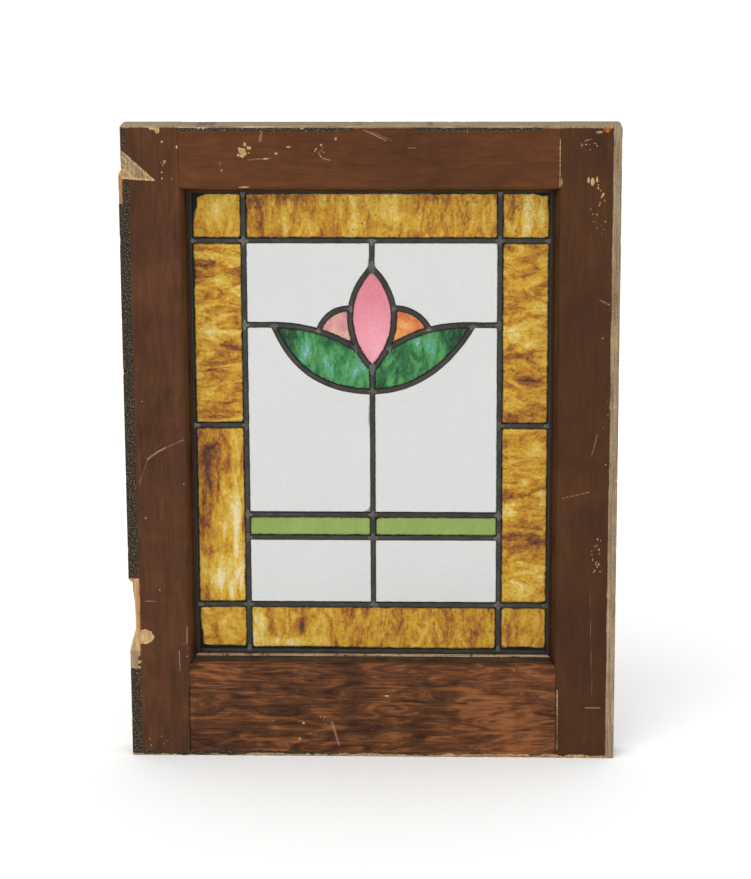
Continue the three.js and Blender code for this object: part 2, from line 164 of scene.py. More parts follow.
def skin(rings: Array) -> tuple[Array, list[list[int]]]:
    """The closed skin over a row of rings.

    Neighbouring rings are joined by quads and each end ring is closed by one
    face. If the enclosed volume comes out negative, every face is turned.

    Args:
        rings: Points as (ring, place in the ring, xyz), in millimetres.

    Returns:
        The vertices and the faces.
    """
    count, size, _ = rings.shape
    row = np.arange(count - 1)[:, None] * size
    here = np.arange(size)[None, :]
    there = (here + 1) % size
    quads = np.stack([row + here, row + there, row + size + there, row + size + here], -1)
    quads = quads.reshape(-1, 4)
    points = rings.reshape(-1, 3)
    first, last = np.arange(size)[::-1], np.arange(size) + (count - 1) * size
    volume = 0.0
    for fan in (quads, first[None, :], last[None, :]):
        a = points[fan[:, :1]]
        b, c = points[fan[:, 1:-1]], points[fan[:, 2:]]
        volume += (a * np.cross(b, c)).sum()
    faces = quads.tolist() + [first.tolist(), last.tolist()]
    if volume < 0:
        faces = [face[::-1] for face in faces]
    return points, faces


@dataclass
class Part:
    """A piece in the making: skins gathered up, with values at each vertex."""

    name: str
    crease: float = 40.0

    def __post_init__(self) -> None:
        """Starts with no skins."""
        self.points: list[Array] = []
        self.faces: list[list[int]] = []
        self.fields: dict[str, list[Array]] = {}

    def add(self, rings: Array, **fields: Array) -> None:
        """Adds one closed skin over rings, with a value or vector per vertex for each field.

        Args:
            rings: Points as (ring, place in the ring, xyz), in millimetres.
            fields: Values or vectors by name, for the same points.
        """
        start = sum(len(points) for points in self.points)
        points, faces = skin(rings)
        self.points.append(points)
        self.faces += [[start + corner for corner in face] for face in faces]
        for name, values in fields.items():
            self.fields.setdefault(name, []).append(values)

    def finish(self, material: Material, slot: str, *nodes: str) -> bpy.types.Object:
        """Makes the object, dresses it and sets it in place of its nodes.

        Args:
            material: The finish it gets.
            slot: The record's material slot that the finish belongs to; not used.
            nodes: The nodes of the frame that the piece stands for.

        Returns:
            The object.
        """
        mesh = bpy.data.meshes.new(self.name)
        points = np.concatenate(self.points) * MM
        mesh.from_pydata(points, [], self.faces)
        for name, parts in self.fields.items():
            values = np.concatenate([part.reshape(-1, *part.shape[2:]) for part in parts])
            kind, key = ("FLOAT_VECTOR", "vector") if values.ndim == 2 else ("FLOAT", "value")
            layer = mesh.attributes.new(name, kind, "POINT")
            layer.data.foreach_set(key, np.ascontiguousarray(values, np.float32).ravel())
        mesh.shade_smooth()
        mesh.set_sharp_from_angle(angle=math.radians(self.crease))
        mesh.materials.append(material)
        piece = bpy.data.objects.new(self.name, mesh)
        link(piece)
        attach(piece, BODY)
        if nodes:
            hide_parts(*nodes)
        LOG.info("%s: %d faces, in place of %s", self.name, len(self.faces), ", ".join(nodes) or "-")
        return piece


def link(thing: bpy.types.Object) -> None:
    """Puts an object in the scene."""
    bpy.context.scene.collection.objects.link(thing)


def own_number(name: str) -> int:
    """A number that goes with a name: the sum of its letters' codes. It seats a piece's noise."""
    return sum(map(ord, name))


def box_mm(node: str) -> Array:
    """Lowest and highest corner of a node, in millimetres, as a 2 x 3 array."""
    return np.array(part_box(node)) / MM


# ------ shader maths


def tint(code: str) -> Colour:
    """A hexadecimal screen colour as linear light.

    Args:
        code: Two digits each of red, green and blue.

    Returns:
        Red, green, blue and an alpha of 1.
    """
    screen = np.array([int(code[i : i + 2], 16) for i in (0, 2, 4)]) / 255
    light = np.where(screen <= 0.04045, screen / 12.92, ((screen + 0.055) / 1.055) ** 2.4)
    return (*light.tolist(), 1.0)


class Value:
    """A number socket. Arithmetic on it adds Math nodes to its tree."""

    def __init__(self, tree: "Tree", socket: Socket) -> None:
        """Keeps the tree and the socket."""
        self.tree = tree
        self.socket = socket

    def _math(self, operation: str, *terms: "Value | float") -> "Value":
        """The result of one Math node on the terms."""
        node = self.tree.add("ShaderNodeMath", {"operation": operation}, dict(enumerate(terms)))
        return Value(self.tree, node.outputs[0])

    def __add__(self, other: "Value | float") -> "Value":
        """Sum."""
        return self._math("ADD", self, other)

    def __radd__(self, other: float) -> "Value":
        """Sum with a plain number first."""
        return self._math("ADD", other, self)

    def __sub__(self, other: "Value | float") -> "Value":
        """Difference."""
        return self._math("SUBTRACT", self, other)

    def __rsub__(self, other: float) -> "Value":
        """Difference from a plain number."""
        return self._math("SUBTRACT", other, self)

    def __mul__(self, other: "Value | float") -> "Value":
        """Product."""
        return self._math("MULTIPLY", self, other)

    def __rmul__(self, other: float) -> "Value":
        """Product with a plain number first."""
        return self._math("MULTIPLY", other, self)

    def under(self, other: "Value | float") -> "Value":
        """The smaller of the two."""
        return self._math("MINIMUM", self, other)

    def rise(self, low: float, high: float) -> "Value":
        """Smooth step from 0 at low to 1 at high."""
        node = self.tree.add(
            "ShaderNodeMapRange",
            {"interpolation_type": "SMOOTHSTEP"},
            {"Value": self, "From Min": low, "From Max": high},
        )
        return Value(self.tree, node.outputs[0])


Feed = Value | Socket | float | tuple


class Tree:
    """A material's nodes round its one Principled shader."""

    # A Mix node's sockets for colours, by number: its names repeat for each kind of data
    FIRST_COLOUR = 6
    SECOND_COLOUR = 7
    MIXED_COLOUR = 2

    def __init__(self, name: str) -> None:
        """Makes the material, with its shader at hand.

        Args:
            name: The material's name.
        """
        self.material = bpy.data.materials.new(name)
        self.material.use_nodes = True
        self.nodes = self.material.node_tree.nodes
        self.links = self.material.node_tree.links
        self.shader = self.nodes["Principled BSDF"]

    def _feed(self, socket: Socket, value: Feed) -> None:
        """Links a socket, or sets its plain value.

        Args:
            socket: The socket.
            value: What it gets.
        """
        if isinstance(value, Value):
            self.links.new(value.socket, socket)
        elif isinstance(value, Socket):
            self.links.new(value, socket)
        else:
            socket.default_value = value

    def add(self, kind: str, settings: dict | None = None,
            sockets: dict | None = None) -> bpy.types.Node:
        """Adds a node.

        Args:
            kind: The node's type name.
            settings: Its own settings, set first. "stops" fills a colour ramp.
            sockets: Values or links by input name or number.

        Returns:
            The node.
        """
        node = self.nodes.new(kind)
        for key, value in (settings or {}).items():
            if key == "stops":
                elements = node.color_ramp.elements
                while len(elements) < len(value):
                    elements.new(1.0)
                for element, (place, colour) in zip(elements, value):
                    element.position = place
                    element.color = colour
            else:
                setattr(node, key, value)
        for key, value in (sockets or {}).items():
            self._feed(node.inputs[key], value)
        return node

    def dress(self, **sockets: Feed) -> Material:
        """Feeds the shader's sockets, underscores standing for spaces, and gives the material.

        Args:
            sockets: Values or links by the socket's name.

        Returns:
            The material.
        """
        for key, value in sockets.items():
            self._feed(self.shader.inputs[key.replace("_", " ")], value)
        return self.material

    def place(self, scale: Triple = (1.0, 1.0, 1.0), turn: float = 0.0) -> Socket:
        """Object coordinates, scaled, and turned about Y.

        Args:
            scale: Factors along the three axes.
            turn: Degrees.

        Returns:
            The vector socket.
        """
        coords = self.add("ShaderNodeTexCoord")
        mapping = self.add(
            "ShaderNodeMapping",
            None,
            {"Vector": coords.outputs["Object"], "Scale": scale,
             "Rotation": (0, math.radians(turn), 0)},
        )
        return mapping.outputs[0]

    def noise(self, coords: Socket, scale: float, detail: float = 3.0,
              roughness: float = 0.55, swirl: float = 0.0) -> Value:
        """Noise from 0 to 1, in steps of 1/scale metres.

        Args:
            coords: Where it is read.
            scale: Steps to the metre.
            detail: Finer sizes added.
            roughness: Their weight.
            swirl: How far it is distorted.

        Returns:
            The noise.
        """
        node = self.add(
            "ShaderNodeTexNoise",
            None,
            {"Vector": coords, "Scale": scale, "Detail": detail,
             "Roughness": roughness, "Distortion": swirl},
        )
        return Value(self, node.outputs[0])

    def field(self, name: str) -> Value:
        """A number kept at the mesh's vertices."""
        node = self.add("ShaderNodeAttribute", {"attribute_name": name})
        return Value(self, node.outputs["Fac"])

    def fields(self, name: str) -> tuple[Value, Value, Value]:
        """Three numbers kept at the mesh's vertices as one vector.

        Args:
            name: The vector's name.

        Returns:
            The three numbers.
        """
        node = self.add("ShaderNodeAttribute", {"attribute_name": name})
        split = self.add("ShaderNodeSeparateXYZ", None, {0: node.outputs["Vector"]})
        return tuple(Value(self, socket) for socket in split.outputs)

    def ramp(self, value: Value, stops: list[tuple[float, str]]) -> Socket:
        """A colour picked along stops of (place, hexadecimal colour)."""
        linear = [(place, tint(code)) for place, code in stops]
        return self.add("ShaderNodeValToRGB", {"stops": linear}, {"Fac": value}).outputs[0]

    def mix(self, share: Feed, first: Feed, second: Feed) -> Socket:
        """Two colours mixed; share is how much of the second shows."""
        sockets = {"Factor": share, self.FIRST_COLOUR: first, self.SECOND_COLOUR: second}
        return self.add("ShaderNodeMix", {"data_type": "RGBA"}, sockets).outputs[self.MIXED_COLOUR]

    def bump(self, height: Value, depth: float) -> Socket:
        """The normal of a surface raised by height times depth, in metres."""
        return self.add("ShaderNodeBump", None, {"Height": height, "Distance": depth}).outputs[0]


# ------ finishes


class Grain(Enum):
    """Which way a board's grain runs: the squeeze of its streaks, and of its broad figure."""

    UPRIGHT = ((1.0, 1.0, 0.035), (1.0, 1.0, 0.14))
    LEVEL = ((0.035, 1.0, 1.0), (0.2, 1.0, 1.0))


@dataclass(frozen=True)
class StainedWood:
    """Dark stained softwood, worn through to bare wood, with old tar and grime, and painted shade and
    highlight on its mouldings.

    The boards keep two vectors at their vertices. "wear" is how far a point
    lies inside bare wood and inside tar, in millimetres, and how grimy it is,
    with painted shade deep in the mouldings and, below 0, a painted highlight.
    "age" is how weathered it is, how warm its bare wood is, and how scuffed.
    """

    name: str
    grain: Grain
    dark: str
    middle: str
    light: str
    figure: float = 0.3
    rubbed_and_lit: str = "84502C"
    specular: float = 0.12

    def make(self) -> Material:
        """Builds the material.

        Returns:
            The material.
        """
        tree = Tree(self.name)
        plain = tree.place()
        squeezed, loose = (tree.place(squeeze) for squeeze in self.grain.value)
        figure = tree.noise(loose, 95, 5.0, 0.62, 1.8)
        streaks = tree.noise(squeezed, 620, 4.0, 0.6, 0.3)
        pores = tree.noise(squeezed, 2300, 2.0, 0.5)
        clouds = tree.noise(plain, 11, 4.0, 0.6, 0.8)
        specks = tree.noise(plain, 800, 3.0, 0.7)
        bare, tar, grime_and_shade = tree.fields("wear")
        weather, warmth, scuff = tree.fields("age")

        spread = (figure - 0.5) * (self.figure * 2.2) + (streaks - 0.5) * (0.18 + self.figure * 0.5)
        tone = spread + (clouds - 0.5) * 0.9 + (pores - 0.5) * 0.2 + 0.5
        stain = tree.ramp(tone, [(0.2, self.dark), (0.5, self.middle), (0.8, self.light)])
        ragged = (specks - 0.5) * 2.6 + (streaks - 0.5) * 1.6
        scuffed = (scuff + (specks - 0.5) * 0.9 + (streaks - 0.5) * 0.4).rise(0.2, 0.85)
        stain = tree.mix(scuffed * 0.62, stain, tint("B08C78"))

        bleached = tree.ramp(
            streaks * 0.8 + specks * 0.35 - 0.1,
            [(0.28, "14100C"), (0.4, "3A2D20"), (0.52, "4E4030"), (0.62, "5A4330"), (0.74, "7E6E58")],
        )
        worn = weather * (0.4 + clouds * 1.2)
        surface = tree.mix(worn.rise(0.2, 0.75), stain, bleached)
        # Grime, and painted shade deep in the mouldings: darkened towards a near-black brown
        surface = tree.mix(grime_and_shade.rise(0.0, 1.0) * 0.85, surface, tint("17100A"))
        # Rubbed stain, and a painted highlight on the shallow ogee: lightened towards a warm brown
        rubbing_and_highlight = (0 - grime_and_shade).rise(0.0, 1.0) * (0.2 + streaks * 1.2)
        surface = tree.mix(rubbing_and_highlight, surface, tint(self.rubbed_and_lit))

        fresh = tree.ramp(
            streaks + (pores - 0.5) * 0.5, [(0.3, "8A6238"), (0.5, "BC9768"), (0.7, "D6B98E")]
        )
        orange = tree.ramp(streaks, [(0.3, "643214"), (0.55, "A0622F"), (0.75, "C08A52")])
        grey = tree.ramp(
            streaks * 0.6 + specks * 0.7 - 0.15, [(0.3, "2E261C"), (0.45, "7E6C52"), (0.7, "A8957A")]
        )
        cool = tree.mix(warmth.rise(0.0, 1.0), grey, fresh)
        exposed = tree.mix((warmth - 1).rise(0.0, 1.0), cool, orange)
        stripped = (bare + ragged * 0.55).rise(-0.12, 0.22)
        surface = tree.mix(stripped, surface, exposed)

        pitch = tree.ramp(
            specks, [(0.34, "0B0A08"), (0.48, "221D17"), (0.57, "4A3F30"), (0.66, "8F7F66")]
        )
        tarred = (tar + ragged * 0.6).rise(-0.15, 0.25)
        surface = tree.mix(tarred, surface, pitch)

        gloss = 0.46 + (clouds - 0.5) * 0.25 + stripped * 0.35 + worn * 0.2
        height = streaks * 0.5 + pores * 0.3 + specks * (0.15 + tarred * 1.2) - stripped * 0.5
        return tree.dress(
            Base_Color=surface,
            Roughness=(gloss + tarred * 0.15).under(0.9),
            Specular_IOR_Level=self.specular,
            Normal=tree.bump(height, 0.00022),
        )


@dataclass(frozen=True)
class OldLead:
    """Dull lead came: grey, darker and browner where cement clings to its flanks."""

    name: str
    dark: str = "262420"
    middle: str = "3D3B37"
    light: str = "54524C"

    def make(self) -> Material:
        """Builds the material.

        Returns:
            The material.
        """
        tree = Tree(self.name)
        plain = tree.place()
        clouds = tree.noise(plain, 70, 3.0, 0.55, 0.4)
        grit = tree.noise(plain, 900, 3.0, 0.7)
        flank = tree.field("flank")
        tone = clouds * 0.5 + grit * 0.5
        metal = tree.ramp(tone, [(0.3, self.dark), (0.5, self.middle), (0.7, self.light)])
        cement = (flank + (grit - 0.5) * 0.6 + (clouds - 0.5) * 0.5).rise(0.62, 1.0)
        surface = tree.mix(cement, metal, tint("17120D"))
        return tree.dress(
            Base_Color=surface,
            Roughness=0.55 + clouds * 0.15 + cement * 0.2,
            Metallic=0.35 - cement * 0.3,
            Specular_IOR_Level=0.25,
            Normal=tree.bump(grit + clouds * 0.5, 0.00010),
        )


@dataclass(frozen=True)
class ArtGlass:
    """Streaky opalescent glass, with dark cement where it meets the leads.

    The panes keep two numbers at their vertices: "tone", the broad light and
    dark of the sheet, and "rim", the distance in from the leads in millimetres.
    """

    name: str
    stops: tuple[tuple[float, str], ...]
    stretch: Triple = (1.0, 1.0, 1.0)
    turn: float = 0.0
    scale: float = 60.0
    swirl: float = 1.5
    contrast: float = 1.6
    mottle: float = 0.6
    specks: float = 0.5
    cement: float = 0.9
    through: float = 0.6

    def make(self) -> Material:
        """Builds the material.

        Returns:
            The material.
        """
        tree = Tree(self.name)
        flow = tree.place(self.stretch, self.turn)
        plain = tree.place()
        bands = tree.noise(flow, self.scale, 5.0, 0.62, self.swirl)
        wisps = tree.noise(flow, self.scale * 3.3, 4.0, 0.65, self.swirl)
        mottle = tree.noise(plain, 300, 4.0, 0.7, 0.6)
        grit = tree.noise(plain, 1100, 2.0, 0.6)
        dirt = tree.noise(plain, 420, 3.0, 0.75)
        ooze = tree.noise(plain, 110, 3.0, 0.65)
        drift = (bands - 0.5) * self.contrast + (wisps - 0.5) * (self.contrast * 0.5)
        tone = tree.field("tone") + drift + (mottle - 0.5) * self.mottle
        sheet = tree.ramp(tone, list(self.stops))
        spots = (dirt + (grit - 0.5) * 0.5 + (ooze - 0.5) * 0.35).rise(0.6, 0.7) * self.specks
        sheet = tree.mix(spots, sheet, tint("2E1804"))
        rim = tree.field("rim") + (dirt - 0.5) * 2.6 + (ooze - 0.5) * 3.2 * self.cement
        edge = (1 - rim.rise(self.cement * 0.2, self.cement * 1.9)) * min(1.0, self.cement * 2)
        sheet = tree.mix(edge, sheet, tint("0D0B08"))
        return tree.dress(
            Base_Color=sheet,
            Roughness=0.25 + edge * 0.5 + bands * 0.1,
            Transmission_Weight=self.through,
            IOR=1.5,
            Specular_IOR_Level=0.12,
            Normal=tree.bump(grit * 0.25 + wisps * 0.8, 0.0006),
        )


@dataclass(frozen=True)
class ClearGlass:
    """Old clear glass with a fine grain and a little dirt."""

    name: str = "clear_glass_seedy"

    def make(self) -> Material:
        """Builds the material.

        Returns:
            The material.
        """
        tree = Tree(self.name)
        plain = tree.place()
        grain = tree.noise(plain, 700, 3.0, 0.7)
        dirt = tree.noise(plain, 330, 4.0, 0.8)
        haze = tree.noise(plain, 12, 3.0, 0.6)
        ooze = tree.noise(plain, 110, 3.0, 0.65)
        body = tree.ramp(
            grain + (haze - 0.5) * 0.2, [(0.3, "C9CAC8"), (0.5, "CFD0CE"), (0.7, "D4D5D3")]
        )
        spots = (dirt + haze * 0.12).rise(0.76, 0.82)
        rim = tree.field("rim") + (dirt - 0.5) * 1.8 + (ooze - 0.5) * 1.6
        edge = (1 - rim.rise(-0.2, 0.9)) * 0.75
        body = tree.mix(spots * 0.6, body, tint("6F6A60"))
        body = tree.mix(edge, body, tint("2E2922"))
        return tree.dress(
            Base_Color=body,
            Roughness=0.05 + spots * 0.4,
            Transmission_Weight=1.0,
            IOR=1.45,
            Specular_IOR_Level=0.15,
            Normal=tree.bump(grain, 0.00025),
        )


@dataclass(frozen=True)
class OldPutty:
    """Hard grey-buff putty with hairline cracks."""

    name: str = "old_putty"

    def make(self) -> Material:
        """Builds the material.

        Returns:
            The material.
        """
        tree = Tree(self.name)
        plain = tree.place()
        clouds = tree.noise(plain, 40, 4.0, 0.65)
        grit = tree.noise(plain, 900, 3.0, 0.7)
        body = tree.ramp(
            clouds * 0.6 + grit * 0.4, [(0.3, "4E483D"), (0.5, "8C8676"), (0.7, "A9A391")]
        )
        return tree.dress(
            Base_Color=body,
            Roughness=0.8 + grit * 0.15,
            Normal=tree.bump(grit + clouds, 0.0003),
        )


# ------ sash


@dataclass(frozen=True)
class Blot:
    """A small patch of bare wood: an ellipse on the face, and how warm its wood is."""

    at: Point
    reach: float
    height: float
    warmth: float = 0.8

    def depth(self, x: Array, z: Array) -> Array:
        """How far inside the patch: (1 - distance in radii) times the smaller radius."""
        radii = np.hypot((x - self.at[0]) / self.reach, (z - self.at[1]) / self.height)
        return (1 - radii) * min(self.reach, self.height)


@dataclass(frozen=True)
class Scratch:
    """A scratch between two points: a pale scuff of some strength, or down to bare wood if 0."""

    start: Point
    end: Point
    half_width: float = 0.55
    strength: float = 0.8
    warmth: float = 0.7

    def depth(self, x: Array, z: Array) -> Array:
        """Half the width less the distance to the nearest point of the segment.

        Args:
            x: Places across, in mm.
            z: Heights.

        Returns:
            How far inside the scratch each point lies.
        """
        run = np.subtract(self.end, self.start)
        t = ((x - self.start[0]) * run[0] + (z - self.start[1]) * run[1]) / (run @ run)
        t = np.clip(t, 0, 1)
        across, up = x - self.start[0] - t * run[0], z - self.start[1] - t * run[1]
        return self.half_width - np.hypot(across, up)


@dataclass(frozen=True)
class Spatter:
    """Many small chips scattered over a field."""

    centre: Point
    reach: float
    height: float
    count: int
    seed: int
    sizes: Point = (0.5, 1.3)

    def marks(self) -> list[Blot]:
        """The chips, thicker towards the middle of the field.

        Returns:
            One small patch for each chip.
        """
        draw = np.random.default_rng(self.seed)
        turn, far = draw.uniform(0, 2 * np.pi, self.count), draw.uniform(0, 1, self.count)
        size, stretch = draw.uniform(*self.sizes, self.count), draw.uniform(0.7, 1.5, self.count)
        x = self.centre[0] + self.reach * far * np.cos(turn)
        z = self.centre[1] + self.height * far * np.sin(turn)
        return [Blot((x[i], z[i]), size[i], size[i] * stretch[i]) for i in range(self.count)]


class Board(Enum):
    """The sash's four boards, by node name."""

    LEFT = "left_stile"
    RIGHT = "right_stile"
    TOP = "top_rail"
    BOTTOM = "bottom_rail"


@dataclass
class WearMap:
    """One board's wear in the making: how far each vertex lies inside bare wood and tar."""

    shape: tuple[int, ...]

    def __post_init__(self) -> None:
        """Starts with sound stained wood all over."""
        self.bare, self.tar = np.full(self.shape, FAR), np.full(self.shape, FAR)
        self.warmth, self.scuff = np.zeros(self.shape), np.zeros(self.shape)

    def strip(self, inside: Array, warm: Array | float) -> None:
        """Lays one more bare area, of wood so warm, over those before it."""
        self.warmth = np.where(inside > self.bare, warm, self.warmth)
        self.bare = np.maximum(self.bare, inside)


def chain(points: list[Point], half_width: float = 0.55, strength: float = 0.8) -> list[Scratch]:
    """A bent scratch through several points."""
    return [Scratch(a, b, half_width, strength) for a, b in zip(points, points[1:])]


@dataclass
class Sash:
    """The wooden sash: two through stiles and two rails coped to them.

    Lengths are millimetres. A board's section is given as distance from its
    outer edge and Y; the moulding is on the room side of the inner edge.
    """

    moulding: float = 7.0
    quirk: Point = (0.7, 1.0)
    fillet: Point = (1.2, 17.5)
    fillet_fall: float = 0.4
    rabbet: float = 6.3
    lip: float = 22.5
    arris: float = 1.1
    across_step: float = 0.85
    along_step: float = 1.15
    side_step: float = 2.6
    back_step: float = 3.2
    face_round: float = 0.35
    end_zone: float = 4.0
    end_step: float = 0.45
    joint_gap: float = 0.12
    tenon_front: float = -8.0
    tenon_thickness: float = 12.0
    tenons: tuple[Point, Point] = ((546.0, 586.0), (16.0, 76.0))
    break_low: float = 105.5
    break_high: float = 172.5
    break_depth: float = 6.2
    break_back: float = 1.8
    split_low: float = 557.5
    split_depth: float = 2.5
    flake: tuple[Point, Point, Point] = ((-230.0, 582.0), (-196.0, 551.0), (-230.0, 553.0))
    flake_depth: float = 2.4
    gouge: Point = (-214.0, 117.5)
    gouge_size: Triple = (8.0, 1.8, 6.5)
    corner_loss: Point = (4.0, 3.0)
    stripped_top: float = 2.0
    tarred_top: float = 4.6
    tarred_left: float = 9.7
    stripped_right: float = 8.1
    worn_depth: float = 2.6
    torn_depth: float = 6.0
    torn_edge: float = -218.3
    bark: Point = (84.0, 106.0)
    bark_edge: float = -218.5
    sliver_low: float = 529.0
    sliver_edge: float = -224.3

    def __post_init__(self) -> None:
        """Takes the sash's size from the frame, and fixes the wear's random fields."""
        boxes = {board: box_mm(board.value) for board in Board}
        whole = np.array(CAD_BOUNDS) / MM
        self.half_width, self.height = whole[1][0], whole[1][2]
        self.front, self.back = whole[0][1], whole[1][1]
        self.stile_width = boxes[Board.LEFT][1][0] - boxes[Board.LEFT][0][0]
        self.sight_half = self.half_width - self.stile_width
        self.sight_bottom = boxes[Board.BOTTOM][1][2]
        self.sight_top = boxes[Board.TOP][0][2]
        self.grain_noise = Noise(11)
        self.dent_noise = Noise(12)
        self.edge_noise = Noise(13)

    # The section and the boards

    def section(self, width: float) -> Array:
        """Closed section of a board, from its outer edge over the front face.

        The ogee falls by (1 - cos(pi t)) / 2 of its depth as t runs across it,
        and the arrises are quarter circles.

        Args:
            width: The board's width.

        Returns:
            Points as (distance from the outer edge, Y).
        """
        r, face_end = self.arris, width - self.moulding
        flat_end = face_end - self.face_round
        turn = np.linspace(0, np.pi / 2, 5)[:-1]
        rounding = np.column_stack([r - r * np.cos(turn), self.front + r - r * np.sin(turn)])
        behind = np.column_stack([r - r * np.sin(turn), self.back - r + r * np.cos(turn)])
        t = np.linspace(0, 1, 15)
        start, end = face_end + self.quirk[0], width - self.fillet[0]
        fall = (self.fillet[1] - self.quirk[1]) * (1 - np.cos(np.pi * t)) / 2
        ogee = np.column_stack([start + (end - start) * t, self.front + self.quirk[1] + fall])
        lip_front = self.front + self.fillet[1] + self.fillet_fall
        rabbet_face = self.front + self.lip
        wall = width - self.rabbet
        return np.concatenate([
            leg((0, self.back - r), (0, self.front + r), self.side_step),
            rounding,
            leg((r, self.front), (flat_end, self.front), self.across_step),
            [(flat_end, self.front), (face_end, self.front + self.face_round)],
            ogee,
            leg((width, lip_front), (width, rabbet_face), self.side_step),
            leg((width, rabbet_face), (wall, rabbet_face), self.side_step),
            leg((wall, rabbet_face), (wall, self.back), self.side_step),
            leg((wall, self.back), (r, self.back), self.back_step),
            behind,
        ])

    def inward(self, section: Array) -> Array:
        """Unit normals of a section that point into the wood.

        Args:
            section: Its points as rows.

        Returns:
            The normals as rows.
        """
        run = np.roll(section, -1, 0) - np.roll(section, 1, 0)
        normal = np.column_stack([-run[:, 1], run[:, 0]])
        normal /= np.maximum(np.hypot(*normal.T), 1e-9)[:, None]
        area = np.cross(section, np.roll(section, -1, 0)).sum()
        return normal * np.sign(area)

    def stops(self, low: float, high: float) -> Array:
        """Places along a board: even steps, and finer ones near both ends.

        Args:
            low: Where it starts.
            high: Where it ends.

        Returns:
            The places in order.
        """
        fine = np.arange(0, self.end_zone, self.end_step)
        count = round((high - low - 2 * self.end_zone) / self.along_step)
        even = np.linspace(low + self.end_zone, high - self.end_zone, count)
        return np.concatenate([low + fine, even, (high - fine)[::-1]])

    def relief(self, travel: Array, girth: Array, reach: Array) -> Array:
        """Depth of the worn surface under the true one, never less than nothing.

        Long grain streaks, small dents and nicks along the outer arris.

        Args:
            travel: Places along the board.
            girth: Places round its section.
            reach: Distances from its outer edge.

        Returns:
            The depths.
        """
        streak = self.grain_noise.at(travel / 45, girth / 1.6, 2)
        dent = rise(self.dent_noise.at(travel / 5, girth / 4.5, 2), 0.45, 0.9)
        near_edge = rise(3.0 - reach, 0, 2.5)
        nick = rise(self.edge_noise.at(travel / 6, girth / 9, 2), 0.2, 0.8) * near_edge
        return 0.07 + 0.06 * streak + 0.12 * dent + 0.55 * nick

    def stile(self, board: Board, part: Part) -> None:
        """One stile: the section carried up its whole height.

        Beside each rail, a point of the moulding moves out to the mitre, so
        that its distance from the sight line is at least the height past it.

        Args:
            board: Which board.
            part: The piece that takes the skin.
        """
        side = -1 if board is Board.LEFT else 1
        section = self.section(self.stile_width)
        inward = self.inward(section)
        z = self.stops(0, self.height)[:, None]
        girth = np.cumsum(np.hypot(*np.diff(section, axis=0, prepend=section[:1]).T))[None, :]
        depth = self.relief(z, girth, section[None, :, 0])
        reach = section[None, :, 0] + inward[None, :, 0] * depth
        y = section[None, :, 1] + inward[None, :, 1] * depth
        past = np.clip(np.maximum(z - self.sight_top, self.sight_bottom - z), 0, self.moulding)
        reach = np.minimum(reach, self.stile_width - past)
        x = side * (self.half_width - reach)
        z = np.broadcast_to(z, x.shape).copy()
        x = self.round_corner(side, x, z)
        if board is Board.LEFT:
            x, y = self.damage(x, y, z)
        part.add(np.stack([x, y, z], -1), **self.wear(board, x, y, z))

    def rail(self, board: Board, part: Part) -> None:
        """One rail: the section carried across, each point out to the cope or shoulder.

        Args:
            board: Which board.
            part: The piece that takes the skin.
        """
        is_top = board is Board.TOP
        width = self.height - self.sight_top if is_top else self.sight_bottom
        section = self.section(width)
        inward = self.inward(section)
        end = self.sight_half + np.clip(width - section[:, 0], 0, self.moulding) - self.joint_gap
        x = self.stops(-1, 1 + 2 * self.sight_half) - self.sight_half
        x = (x / x[-1])[:, None] * end[None, :]
        girth = np.cumsum(np.hypot(*np.diff(section, axis=0, prepend=section[:1]).T))[None, :]
        depth = self.relief(x, girth, section[None, :, 0])
        depth += 0.1 * rise(1.2 - (end[None, :] - np.abs(x)), 0, 1.2)
        reach = section[None, :, 0] + inward[None, :, 0] * depth
        y = section[None, :, 1] + inward[None, :, 1] * depth
        z = self.height - reach if is_top else reach
        if not is_top:
            y = y + self.cracks(x, z) * (y < self.front + 1)
        part.add(np.stack([x, y, z], -1), **self.wear(board, x, y, z))
        low, high = self.tenons[0 if is_top else 1]
        for side in (-1, 1):
            self.tenon(side, low, high, part)

    def tenon(self, side: int, low: float, high: float, part: Part) -> None:
        """A tenon through the stile, its end flush with the outer edge.

        Args:
            side: -1 at the left, 1 at the right.
            low: Its lower height.
            high: Its upper height.
            part: The piece that takes the skin.
        """
        inset = self.split_depth if side < 0 and high > self.split_low else 0.0
        x = side * np.linspace(self.sight_half, self.half_width - inset, 8)
        y0, y1 = self.tenon_front, self.tenon_front + self.tenon_thickness
        ring = np.concatenate([
            leg((y0, low), (y0, high), 4), leg((y0, high), (y1, high), 4),
            leg((y1, high), (y1, low), 4), leg((y1, low), (y0, low), 4),
        ])
        rings = np.empty((len(x), len(ring), 3))
        rings[..., 0] = x[:, None]
        rings[..., 1:] = ring[None]
        wear = np.zeros_like(rings)
        wear[..., 0], wear[..., 1] = 0.4, FAR
        part.add(rings, wear=wear, age=np.zeros_like(rings))

    # Old damage

    def round_corner(self, side: int, x: Array, z: Array) -> Array:
        """Takes the top outer corner off a stile along a quarter circle.

        Args:
            side: -1 at the left, 1 at the right.
            x: Places across, in mm.
            z: Heights.

        Returns:
            The new places across.
        """
        loss = self.corner_loss[0 if side < 0 else 1]
        up = np.clip((z - (self.height - loss)) / loss, 0, 1)
        limit = self.half_width - loss * (1 - np.sqrt(1 - up**2))
        return side * np.minimum(np.abs(x), limit)

    def break_reach(self, z: Array) -> Array:
        """How far in the broken edge goes at a height.

        Args:
            z: Heights.

        Returns:
            The distances in.
        """
        t = (z - self.break_low) / (self.break_high - self.break_low)
        places = [-0.03, 0.06, 0.13, 0.5, 0.72, 0.88, 0.98, 1.01]
        return self.break_depth * np.interp(t, places, [0, 0.6, 1, 1, 0.87, 0.7, 0.65, 0])

